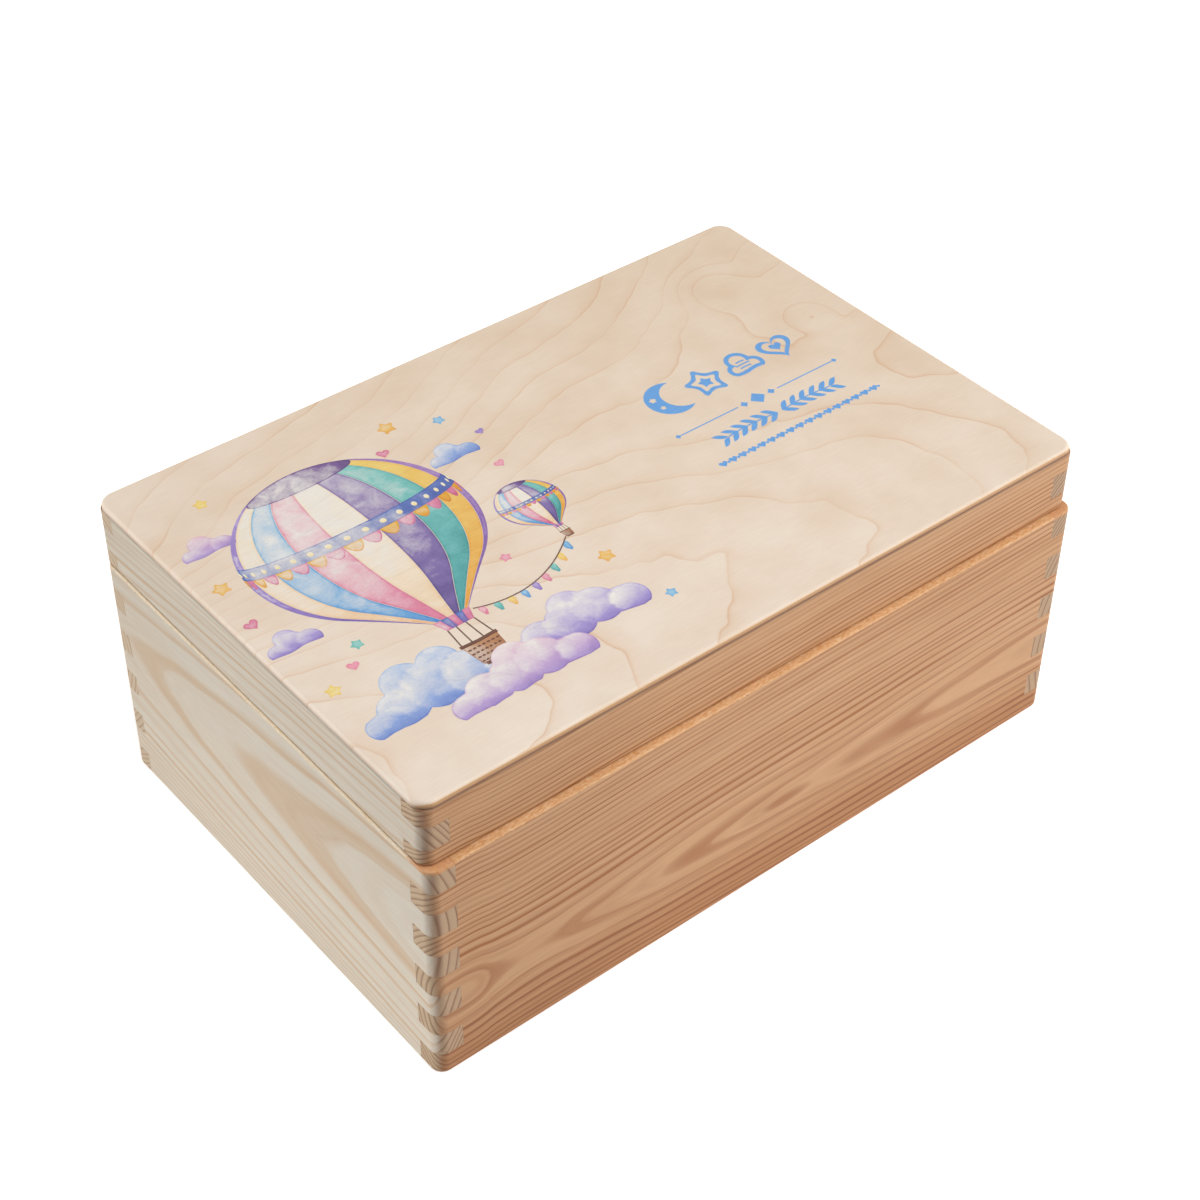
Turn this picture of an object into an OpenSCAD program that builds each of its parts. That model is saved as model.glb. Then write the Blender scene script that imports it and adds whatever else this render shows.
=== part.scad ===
// Hinged keepsake box of solid pine boards with comb-jointed corners.
// The carcass is glued up in one piece and the lid is then sawn off it, so the
// fingers of body and lid belong to one pattern. Millimetres, +Z up. The origin
// is the middle of the body's underside, and the front faces -Y.

/* [Body] */
// Outside length of the body, left to right
box_l = 300; // [200:1:400]
// Outside depth of the body, front to back
box_d = 200; // [140:1:300]
// Height of the body from its underside to its rim
body_h = 100.5; // [60:0.5:200]
// Thickness of the boards
wall_t = 10.6; // [9:0.2:14]
// Rounding of the upright corners
corner_r = 6.5; // [2:0.5:8]
// Sanded rounding of the body's outer edges, at its rim and underside
body_edge_r = 0.8; // [0.2:0.1:1.5]

/* [Comb joints] */
// Height of a finger on the side boards
side_finger_h = 10.35; // [6:0.05:14]
// Height of a finger on the front and back boards
front_finger_h = 9.75; // [6:0.05:14]
// Glue line between two boards
glue_gap = 0.1; // [0.02:0.02:0.2]

/* [Bottom] */
// Thickness of the plywood bottom
bottom_t = 4; // [3:0.5:6]
// How far the rebate for the bottom reaches into the boards
rebate_w = 5; // [4:0.5:6]
// Corner rounding that the cutter leaves in the rebate
rebate_r = 4; // [1:0.5:6]
// Greatest distance between two brads
brad_pitch = 75; // [30:5:120]
// Length of a brad
brad_l = 14; // [10:1:20]
// Diameter of a brad
brad_d = 1.2; // [0.8:0.1:1.6]
// Diameter of a brad's head
brad_head_d = 2.2; // [1.8:0.1:2.8]
// Thickness of a brad's head
brad_head_t = 0.5; // [0.3:0.1:0.8]

/* [Lid] */
// How far the lid's front stands back, as a ledge for the fingers
lid_setback = 3; // [0:0.5:6]
// How far the lid's ends stand in from the body's ends
lid_end_inset = 0.5; // [0:0.1:2]
// How far the lid's back stands out beyond the body's back
lid_overhang = 1; // [0:0.5:3]
// Height of the lid's frame without the panel
lid_frame_h = 24.5; // [18:0.5:50]
// Sanded rounding of the frame's outer edges
lid_edge_r = 0.5; // [0.2:0.1:1.2]
// Height of wood that the saw took when the lid was cut off
saw_kerf = 3.15; // [1.5:0.05:4]
// Gap between body and lid when the lid is shut
seam_gap = 0.5; // [0.3:0.1:1]

/* [Top panel] */
// Thickness of the plywood top
top_t = 3; // [2.6:0.2:6]
// Rounding of the top panel's upper edge
top_round_r = 1.8; // [0.5:0.1:2]
// Rounding of the top panel's lower edge
top_lower_r = 0.4; // [0.2:0.1:0.5]

/* [Hinges] */
// Length of a hinge along the seam
hinge_l = 25; // [18:1:40]
// Distance from the end of the body to the middle of a hinge
hinge_inset = 55; // [30:1:80]
// Thickness of a leaf, which is let in flush
leaf_t = 1; // [0.8:0.1:1.2]
// Wood left between a leaf's inner edge and the inside of the wall
leaf_margin = 1.6; // [1:0.1:3]
// Outer radius of the knuckles
knuckle_r = 1.9; // [1.7:0.1:2.6]
// Number of knuckles, shared by the two leaves
knuckle_count = 5; // [3:2:7]
// Gap between neighbouring knuckles
knuckle_gap = 0.2; // [0.1:0.05:0.4]
// Gap between the knuckles and the wood behind them
barrel_gap = 0.3; // [0.2:0.1:1]
// Radius of the hinge pin
pin_r = 0.8; // [0.6:0.05:1]
// Radial clearance of the pin in its knuckles
pin_fit = 0.05; // [0.02:0.01:0.1]
// Radius of the pin's peened ends
pin_head_r = 1.2; // [1.1:0.1:1.5]
// Thickness of the pin's peened ends
pin_head_t = 0.4; // [0.2:0.1:0.8]

/* [Hinge screws] */
// Length of a screw, with its head
screw_l = 8; // [6:0.5:12]
// Diameter of a screw's shank
screw_d = 2.2; // [1.6:0.1:2.6]
// Diameter of a screw's head
screw_head_d = 4; // [3.2:0.1:4.4]
// Distance between the two screws of a leaf
screw_spacing = 14; // [8:1:18]
// Clearance round screws, brads and leaves in the wood
fastener_gap = 0.05; // [0.02:0.01:0.1]

/* [Hidden] */
$fn = 64;

// Overshoot of a cut past the face that it opens
cut_over = 1;

// Comb joint: one side finger and one front finger make a pitch
joint_pitch = side_finger_h + front_finger_h;

// Lid in place over the body
lid_l = box_l - 2 * lid_end_inset;
lid_d = box_d - lid_setback + lid_overhang;
lid_mid_y = (lid_setback + lid_overhang) / 2;
lid_back_y = lid_mid_y + lid_d / 2;
lid_z = body_h + seam_gap;
panel_z = lid_z + lid_frame_h;

// Hinge line, behind the lid's back
hinge_y = lid_back_y + barrel_gap + knuckle_r;
hinge_z = body_h + seam_gap / 2;
hinge_x = box_l / 2 - hinge_inset;
knuckle_l = (hinge_l - (knuckle_count - 1) * knuckle_gap) / knuckle_count;
bore_r = pin_r + pin_fit;

// A leaf's inner edge keeps its margin to the inside of the lid's wall, which stands
// further back than the body's, and the screws stand midway in the wood they share
leaf_inner_y = lid_back_y - wall_t + leaf_margin;
screw_y = (leaf_inner_y + box_d / 2) / 2;

// Middle of the rebate, where the brads stand
brad_x = box_l / 2 - wall_t + rebate_w / 2;
brad_y = box_d / 2 - wall_t + rebate_w / 2;

pine_front = "#c39a75";
pine_side = "#d8cbb0";
pine_lid = "#cfa682";
birch_ply = "#ead9c4";
brass = "#c8a24e";
steel = "#a9abac";

// ---- Shared shapes ----

// What a quarter round of radius r takes off a corner at the origin
module round_off(r) {
    difference() {
        translate([-cut_over, -cut_over]) square(r + cut_over);
        translate([r, r]) circle(r);
    }
}

// Upright outline of an edge, w wide and h high, rounded at its outer corners
module eased_outline(w, h, lower_r, upper_r) {
    difference() {
        translate([-w, 0]) square([2 * w, h]);
        for (side = [0, 1]) mirror([side, 0]) translate([-w, 0]) round_off(lower_r);
        for (side = [0, 1]) mirror([side, 0]) translate([-w, h]) mirror([0, 1]) round_off(upper_r);
    }
}

// Rounded-rectangle block standing on z = 0, with its lower and upper edges eased
module eased_block(length, depth, r, h, lower_r, upper_r) {
    half_l = length / 2;
    half_d = depth / 2;
    translate([-half_l + r, 0, 0]) rotate([90, 0, 90]) linear_extrude(length - 2 * r)
        eased_outline(half_d, h, lower_r, upper_r);
    translate([0, half_d - r, 0]) rotate([90, 0, 0]) linear_extrude(depth - 2 * r)
        eased_outline(half_l, h, lower_r, upper_r);
    for (x = [-1, 1], y = [-1, 1]) translate([x * (half_l - r), y * (half_d - r), 0])
        rotate_extrude() intersection() {
            eased_outline(r, h, lower_r, upper_r);
            square([r, h]);
        }
}

// Plain rounded-rectangle plate
module round_plate(length, depth, r, h) {
    linear_extrude(h) {
        square([length - 2 * r, depth], center = true);
        square([length, depth - 2 * r], center = true);
        for (x = [-1, 1], y = [-1, 1])
            translate([x * (length / 2 - r), y * (depth / 2 - r)]) circle(r);
    }
}

// Levels of the carcass that belong to the side boards' fingers.
// Level 0 is the body's underside; the part from level to level + h is laid on z = 0.
module side_finger_levels(level, h, grow) {
    first = floor(level / joint_pitch);
    last = ceil((level + h) / joint_pitch);
    for (k = [first : last])
        translate([-box_l, -box_d, k * joint_pitch + front_finger_h - level - grow])
            cube([2 * box_l, 2 * box_d, side_finger_h + 2 * grow]);
}

// The four corner columns where two boards meet
module corner_columns(length, depth, h, grow) {
    column_w = wall_t + 2 * grow;
    for (x = [-1, 1], y = [-1, 1])
        translate([x * (length - wall_t) / 2, y * (depth - wall_t) / 2, h / 2])
            cube([column_w, column_w, 2 * h], center = true);
}

// A front or back board (y_side -1 or 1): its whole length less the side boards' fingers
module long_board(length, depth, h, y_side, level) {
    difference() {
        translate([-length / 2, y_side < 0 ? -depth / 2 : depth / 2 - wall_t, 0])
            cube([length, wall_t, h]);
        intersection() {
            corner_columns(length, depth, h, glue_gap / 2);
            side_finger_levels(level, h, glue_gap / 2);
        }
    }
}

// A side board (x_side -1 or 1): the stretch between the long boards, and its fingers
module short_board(length, depth, h, x_side, level) {
    x0 = x_side < 0 ? -length / 2 : length / 2 - wall_t;
    inner_d = depth - 2 * wall_t - glue_gap;
    translate([x0, -inner_d / 2, 0]) cube([wall_t, inner_d, h]);
    intersection() {
        translate([x0, -depth / 2, 0]) cube([wall_t, depth, h]);
        side_finger_levels(level, h, -glue_gap / 2);
    }
}

// ---- Body ----

module body_form() {
    eased_block(box_l, box_d, corner_r, body_h, body_edge_r, body_edge_r);
}

module bottom_rebate() {
    translate([0, 0, -cut_over])
        round_plate(box_l - 2 * (wall_t - rebate_w), box_d - 2 * (wall_t - rebate_w),
                    rebate_r, bottom_t + cut_over);
}

// Places its children at every brad
module at_brads() {
    span_x = box_l - 4 * wall_t;
    span_y = box_d - 4 * wall_t;
    steps_x = ceil(span_x / brad_pitch);
    steps_y = ceil(span_y / brad_pitch);
    for (side = [-1, 1], k = [0 : steps_x])
        translate([-span_x / 2 + k * span_x / steps_x, side * brad_y, 0]) children();
    for (side = [-1, 1], k = [1 : steps_y - 1])
        translate([side * brad_x, -span_y / 2 + k * span_y / steps_y, 0]) children();
}

module brad(gap) {
    cylinder(r = brad_d / 2 + gap, h = brad_l + gap);
    cylinder(r = brad_head_d / 2 + gap, h = brad_head_t + gap);
}

module bottom_fixings_cut() {
    bottom_rebate();
    at_brads() brad(fastener_gap);
}

module front_board() {
    color(pine_front) difference() {
        intersection() {
            body_form();
            long_board(box_l, box_d, body_h, -1, 0);
        }
        bottom_fixings_cut();
    }
}

module back_board() {
    color(pine_front) difference() {
        intersection() {
            body_form();
            long_board(box_l, box_d, body_h, 1, 0);
        }
        bottom_fixings_cut();
        at_hinges() leaf_pocket(-1);
        at_hinges() at_screws() screw_hole(-1);
    }
}

module side_board(x_side) {
    color(pine_side) difference() {
        intersection() {
            body_form();
            short_board(box_l, box_d, body_h, x_side, 0);
        }
        bottom_fixings_cut();
    }
}

module bottom_panel() {
    inset = wall_t - rebate_w + glue_gap / 2;
    color(birch_ply) difference() {
        round_plate(box_l - 2 * inset, box_d - 2 * inset, rebate_r, bottom_t - glue_gap / 2);
        at_brads() translate([0, 0, -cut_over]) cylinder(r = brad_d / 2 + fastener_gap, h = 2 * bottom_t);
        at_brads() translate([0, 0, -cut_over])
            cylinder(r = brad_head_d / 2 + fastener_gap, h = brad_head_t + fastener_gap + cut_over);
    }
}

module bottom_brads() {
    color(steel) at_brads() brad(0);
}

// ---- Lid ----

// Level of the carcass at which the lid's frame begins
lid_level = body_h + saw_kerf;

module at_lid() {
    translate([0, lid_mid_y, lid_z]) children();
}

module lid_form() {
    eased_block(lid_l, lid_d, corner_r, lid_frame_h, lid_edge_r, lid_edge_r);
}

module lid_long_rail(y_side) {
    at_lid() intersection() {
        lid_form();
        long_board(lid_l, lid_d, lid_frame_h, y_side, lid_level);
    }
}

module lid_short_rail(x_side) {
    color(pine_side) at_lid() intersection() {
        lid_form();
        short_board(lid_l, lid_d, lid_frame_h, x_side, lid_level);
    }
}

module lid_front_rail() {
    color(pine_lid) lid_long_rail(-1);
}

module lid_back_rail() {
    color(pine_lid) difference() {
        lid_long_rail(1);
        at_hinges() leaf_pocket(1);
        at_hinges() at_screws() screw_hole(1);
    }
}

module lid_top_panel() {
    color(birch_ply) translate([0, lid_mid_y, panel_z])
        eased_block(lid_l, lid_d, corner_r, top_t, top_lower_r, top_round_r);
}

// ---- Hinges: half is -1 for the body's leaf and 1 for the lid's ----

// Both hinges, each with its middle on the hinge line
module at_hinges() {
    for (side = [-1, 1]) at_hinge(side) children();
}

module at_hinge(side) {
    translate([side * hinge_x, hinge_y, hinge_z]) children();
}

module at_screws() {
    for (side = [-1, 1]) translate([side * screw_spacing / 2, screw_y - hinge_y, 0]) children();
}

// Turns a shape that is drawn for the lid's leaf into the one for the body's leaf
module for_half(half) {
    if (half > 0) children();
    else mirror([0, 0, 1]) children();
}

// Recess in the wood that takes the leaf flush
module leaf_pocket(half) {
    reach = hinge_y - leaf_inner_y + fastener_gap;
    for_half(half) translate([-hinge_l / 2 - fastener_gap, -reach, 0])
        cube([hinge_l + 2 * fastener_gap, reach, seam_gap / 2 + leaf_t + fastener_gap]);
}

// Knuckle number k, counted from the left end
module knuckle_span(k, r, grow) {
    translate([-hinge_l / 2 + k * (knuckle_l + knuckle_gap) - grow, 0, 0]) rotate([0, 90, 0])
        cylinder(r = r, h = knuckle_l + 2 * grow);
}

module leaf(half) {
    own_first = half < 0 ? 0 : 1;
    reach = hinge_y - leaf_inner_y;
    color(brass) difference() {
        union() {
            for_half(half) translate([-hinge_l / 2, -reach, seam_gap / 2]) cube([hinge_l, reach, leaf_t]);
            for (k = [own_first : 2 : knuckle_count - 1]) knuckle_span(k, knuckle_r, 0);
        }
        for (k = [1 - own_first : 2 : knuckle_count - 1])
            knuckle_span(k, knuckle_r + barrel_gap, knuckle_gap);
        translate([-hinge_l, 0, 0]) rotate([0, 90, 0]) cylinder(r = bore_r, h = 2 * hinge_l);
        at_screws() screw_hole(half);
    }
}

module hinge_pin() {
    half_l = hinge_l / 2;
    color(steel) rotate([0, 90, 0]) {
        translate([0, 0, -half_l - pin_head_t]) cylinder(r = pin_r, h = hinge_l + 2 * pin_head_t);
        for (end = [-half_l - pin_head_t, half_l]) translate([0, 0, end]) cylinder(r = pin_head_r, h = pin_head_t);
    }
}

// Countersunk screw driven away from the seam, its head flush with the leaf
module screw_shape(half, gap) {
    head_depth = (screw_head_d - screw_d) / 2;
    for_half(half) translate([0, 0, seam_gap / 2]) {
        cylinder(r = screw_d / 2 + gap, h = screw_l + gap);
        cylinder(r1 = screw_head_d / 2 + gap, r2 = screw_d / 2 + gap, h = head_depth);
    }
}

module screw_hole(half) {
    screw_shape(half, fastener_gap);
}

// The cross recess in a screw's head
module cross_recess(half) {
    arm_l = 0.55 * screw_head_d;
    arm_w = 0.14 * screw_head_d;
    depth = 0.3 * screw_d;
    for_half(half) for (turn = [0, 90]) translate([0, 0, seam_gap / 2]) rotate([0, 0, turn])
        cube([arm_l, arm_w, 2 * depth], center = true);
}

module screws(half) {
    color(brass) at_screws() difference() {
        screw_shape(half, 0);
        cross_recess(half);
    }
}

// ---- Nodes ----

front_board();
back_board();
side_board(-1);  // left_board
side_board(1);  // right_board
bottom_panel();
bottom_brads();
lid_front_rail();
lid_back_rail();
lid_short_rail(-1);  // lid_left_rail
lid_short_rail(1);  // lid_right_rail
lid_top_panel();
at_hinge(-1) leaf(-1);  // left_hinge_body_leaf
at_hinge(-1) leaf(1);  // left_hinge_lid_leaf
at_hinge(-1) hinge_pin();  // left_hinge_pin
at_hinge(-1) screws(-1);  // left_hinge_body_screws
at_hinge(-1) screws(1);  // left_hinge_lid_screws
at_hinge(1) leaf(-1);  // right_hinge_body_leaf
at_hinge(1) leaf(1);  // right_hinge_lid_leaf
at_hinge(1) hinge_pin();  // right_hinge_pin
at_hinge(1) screws(-1);  // right_hinge_body_screws
at_hinge(1) screws(1);  // right_hinge_lid_screws
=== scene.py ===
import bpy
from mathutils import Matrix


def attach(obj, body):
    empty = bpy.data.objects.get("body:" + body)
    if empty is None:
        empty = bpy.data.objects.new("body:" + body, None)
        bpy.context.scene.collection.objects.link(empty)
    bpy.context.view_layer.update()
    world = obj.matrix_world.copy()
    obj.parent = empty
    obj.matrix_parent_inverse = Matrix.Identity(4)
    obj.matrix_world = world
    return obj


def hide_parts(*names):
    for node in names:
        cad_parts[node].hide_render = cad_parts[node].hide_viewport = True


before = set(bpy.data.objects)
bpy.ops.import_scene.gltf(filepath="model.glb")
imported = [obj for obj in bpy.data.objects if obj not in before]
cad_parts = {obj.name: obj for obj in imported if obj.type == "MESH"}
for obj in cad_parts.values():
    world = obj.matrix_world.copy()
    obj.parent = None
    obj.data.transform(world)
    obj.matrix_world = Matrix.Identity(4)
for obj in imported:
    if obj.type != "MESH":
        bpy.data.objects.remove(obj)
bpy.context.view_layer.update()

import math
from functools import partial

import bmesh
import bpy
import numpy as np
from mathutils import Matrix, Vector
from mathutils.geometry import delaunay_2d_cdt

mm = 0.001
print("stage: frame loaded")


# colours are written as sRGB hex and used as linear values
def linear(code):
    parts = [int(code[i : i + 2], 16) / 255 for i in (1, 3, 5)]
    return (*[c / 12.92 if c <= 0.04045 else ((c + 0.055) / 1.055) ** 2.4 for c in parts], 1.0)


# adds one node, whose kind may be followed by its operation or data type. A list fills its sockets
# in their order (a map range: value, from, to), and a dictionary by number or name, with values,
# hex colours, sockets or nodes (their first live output)
def addNode(tree, kind, inputs=(), **settings):
    kind, _, mode = kind.partition(" ")
    node = tree.nodes.new(kind if "Node" in kind else "ShaderNode" + kind)
    if mode:
        setattr(node, "operation" if hasattr(node, "operation") else "data_type", mode)
    for key, value in settings.items():
        setattr(node, key, value)
    for key, value in inputs.items() if isinstance(inputs, dict) else enumerate(inputs):
        if isinstance(value, bpy.types.Node):
            value = next(out for out in value.outputs if out.enabled)
        if isinstance(value, bpy.types.NodeSocket):
            tree.links.new(value, node.inputs[key])
        else:
            node.inputs[key].default_value = linear(value) if isinstance(value, str) else value
    return node


# an empty material, the function that adds its nodes, and the object's own place in mm
def newMaterial(name):
    material = bpy.data.materials.new(name)
    material.use_nodes = True
    material.node_tree.nodes.clear()
    add = partial(addNode, material.node_tree)
    place = add("TexCoord").outputs["Object"]
    return material, add, add("VectorMath SCALE", {0: place, "Scale": 1000.0})


# every finish ends in a fine relief, its depth in mm, and the shader
def endMaterial(add, colour, gloss, height, strength, depth, **more):
    bump = add("Bump", {"Height": height, "Strength": strength, "Distance": depth * mm})
    shader = add("BsdfPrincipled", {"Base Color": colour, "Roughness": gloss, "Normal": bump, **more})
    add("OutputMaterial", [shader])


# a node group with its sockets, the function that adds its nodes, and what comes in
def newGroup(name, kind, inputs, outputs):
    tree = bpy.data.node_groups.new(name, kind)
    for way, sockets in (("INPUT", inputs), ("OUTPUT", outputs)):
        for label, socket in sockets.items():
            tree.interface.new_socket(label, in_out=way, socket_type="NodeSocket" + socket)
    add = partial(addNode, tree)
    return tree, add, add("NodeGroupInput").outputs


def setRamp(node, stops):
    stops, elements = list(stops), node.color_ramp.elements
    while len(elements) < len(stops):
        elements.new(0.5)
    for element, (place, value) in zip(elements, stops):
        element.position = place
        element.color = linear(value) if isinstance(value, str) else (value, value, value, 1)
    return node


# a float curve between real values: points are (in, out) in the units of the two sockets
def addCurve(add, value, points, handle="AUTO"):
    lowIn, highIn = points[0][0], points[-1][0]
    lowOut, highOut = min(v for _, v in points), max(v for _, v in points)
    node = add("FloatCurve", {"Value": add("MapRange", [value, lowIn, highIn])})
    curve = node.mapping.curves[0]
    while len(curve.points) < len(points):
        curve.points.new(0.5, 0.5)
    for point, (place, out) in zip(curve.points, points):
        point.location = ((place - lowIn) / (highIn - lowIn), (out - lowOut) / (highOut - lowOut))
        point.handle_type = handle
    node.mapping.update()
    return add("MapRange", [node, 0.0, 1.0, lowOut, highOut])


def newMesh(name, points, edges=(), faces=()):
    mesh = bpy.data.meshes.new(name)
    mesh.from_pydata(points, edges, faces)
    return mesh


def newObject(name, data):
    thing = bpy.data.objects.new(name, data)
    bpy.context.scene.collection.objects.link(thing)
    return thing


def turnOutward(mesh):
    shape = bmesh.new()
    shape.from_mesh(mesh)
    bmesh.ops.recalc_face_normals(shape, faces=shape.faces)
    shape.to_mesh(mesh)
    shape.free()
    return mesh


# keeps what the object's modifier makes as a plain mesh
def makeReal(thing):
    graph = bpy.context.evaluated_depsgraph_get()
    done = bpy.data.meshes.new_from_object(thing.evaluated_get(graph))
    thing.modifiers.clear()
    thing.data = done
    done.name = thing.name
    return thing


# Each board is a slice of one trunk: rings are cylinders round a pith that lies outside the
# board, so the face grain, the edges and the finger ends all come from the same rings.
carcass = {
    "sawLine": 100.75,  # mm, the saw cut lies here
    "rimReach": 0.4,  # mm, level faces nearer than this to the saw line are sawn rims
    "liftAboveSaw": 2.65,  # mm, the kerf that is missing from the grain above the cut
    "grooveShade": (124.4, 125.5, 0.66),  # mm, where the painted shade in the groove under the panel starts and is full, and how dark
    "paintedCornerShade": "#8C5000",  # the brown of the painted shade on the rounded corners
    "cadCorner": 6.5,  # mm, the radius of the upright corners in the CAD
    "cornerBand": 1.5,  # mm, how far inside that radius a point still belongs to the corner
    "fingerTips": (-92.0, -87.0),  # mm, y where the front fingers' tips end and a side's rim begins
    "cornerShadeRise": (20.0, 128.0, 0.8, 4.0),  # mm up the box, and how much painted shade darkens the corners
    "endTurn": (0.5, 0.9),  # how far a face has to turn to the board's end to show end grain
    # for each body: half sides, the middle's y and the tighter radius, in mm
    "outline": {"box": (150.0, 100.0, 0.0, 4.8), "lid": (149.5, 99.0, 2.0, 5.0)},
    "smoothTurn": 32,  # degrees, edges that turn further stay sharp
}
# "rings" is the ring count against mm from the ring whose tip is at "tip", and "vigour" is how
# strongly the rings show there. A ring's late wood takes the first 0.4 of its count. "burl" is
# its place, half sizes and depth. "heightShade" and "alongShade" are each a colour with where it
# starts and is full: partly the wood's own colour and partly painted shade for uneven light.
frontPineLook = {
    "along": "X", "pith": (-127.0, 36.0), "tip": 27.0,
    "taper": [(-151, 26.6), (-140, 26.0), (-124, 27.05), (-108, 27.5), (-88, 27.0), (-30, 24.95),
              (70, 22.9), (151, 21.6)],
    "rings": [(-10.3, -5), (-4.1, -2), (0, 0), (2.2, 1), (4.3, 2), (7.2, 3), (9.9, 4), (11.8, 5), (15.6, 7),
              (17.7, 8), (24.6, 11), (31.7, 14), (37.8, 17), (45.1, 20), (53, 24), (80, 37)],
    "vigour": [(-10.3, 0.65), (0, 0.72), (7.3, 1.1), (12, 0.75), (16, 1.1), (21.5, 0.65), (27, 0.95),
               (31, 1.1), (38, 0.9), (43, 0.85), (51, 1.15), (56, 1.0), (60, 0.7), (70, 0.65), (80, 0.8)],
    "section": [(0.0, 0.75), (0.06, 1.0), (0.2, 0.8), (0.36, 0.22), (0.55, 0.03), (0.93, 0.02), (1.0, 0.45)],
    "burl": (4.0, 35.0, 15.0, 4.0, 1.3), "waver": 0.65, "ripple": 0.13, "breadth": 0.1, "streak": 0.26,
    "early": "#D6A87E", "late": "#9E5919", "cloudy": "#CB9A6E", "endPale": "#CCB08E", "endLine": "#97704F",
    "heightShade": ("#E6D6C0", 34.0, 4.0), "alongShade": ("#F3F2F1", -20.0, -120.0),
    "sawn": ("#DA9E62", "#EAB57E", "#F6D2A6"), "sawnTip": "#FFFFFF", "arris": (99.6, 100.3),
    "cornerShade": 0.4, "seed": 3.1, "ringSeed": 11,
}
leftPineLook = {
    "along": "Y", "pith": (-228.0, 67.0), "tip": 78.0,
    "taper": [(-101, 70.6), (-60, 72.3), (-19, 73.9), (15, 75.1), (50, 76.5), (87, 78.0), (101, 78.5)],
    "rings": [(-10.5, -2), (-4.6, -1), (-2.8, -0.6), (-0.6, 0), (0.1, 0.4), (2.9, 1), (3.6, 1.4), (6.1, 2),
              (6.8, 2.4), (8.8, 3), (11.5, 4), (12.3, 4.4), (14, 5), (15.7, 6), (17.3, 7), (18.8, 8),
              (20.5, 9), (45, 23)],
    "vigour": [(-10.5, 1.2), (-3, 1.25), (-0.8, 0.85), (3, 0.8), (8, 0.6), (12, 0.9), (16, 0.5), (21, 0.65),
               (45, 0.6)],
    "section": [(0.0, 0.6), (0.1, 0.85), (0.27, 0.8), (0.43, 0.15), (0.6, 0.02), (0.93, 0.02), (1.0, 0.6)],
    "burl": (-60.0, 20.0, 10.0, 3.0, 0.0), "waver": 0.5, "ripple": 0.2, "breadth": 0.05, "streak": 0.16,
    "early": "#E9DECD", "late": "#D4AE82", "cloudy": "#E4D8C6", "endPale": "#BF9F7F", "endLine": "#8E6547",
    "heightShade": ("#F1F1F1", 10.0, 115.0), "alongShade": ("#F6F5F3", 0.0, 110.0),
    "sawn": ("#F0CFA0", "#FAE3C0", "#FFF1DC"), "sawnTip": "#E2AC77", "arris": (99.0, 99.8),
    "cornerShade": 0.4, "seed": 8.4, "ringSeed": 2,
}
backPineLook = dict(frontPineLook, pith=(131.0, 58.0), seed=14.2, ringSeed=23,
                    heightShade=("#F6F0EA", 34.0, 4.0), burl=(-62.0, 60.0, 11.0, 4.0, 1.2), early="#DAB28C",
                    late="#B07A4C", cloudy="#CFA37A", endPale="#D3BC9F", endLine="#B39474")
rightPineLook = dict(leftPineLook, pith=(225.0, 31.0), seed=19.7, ringSeed=31)


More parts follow.
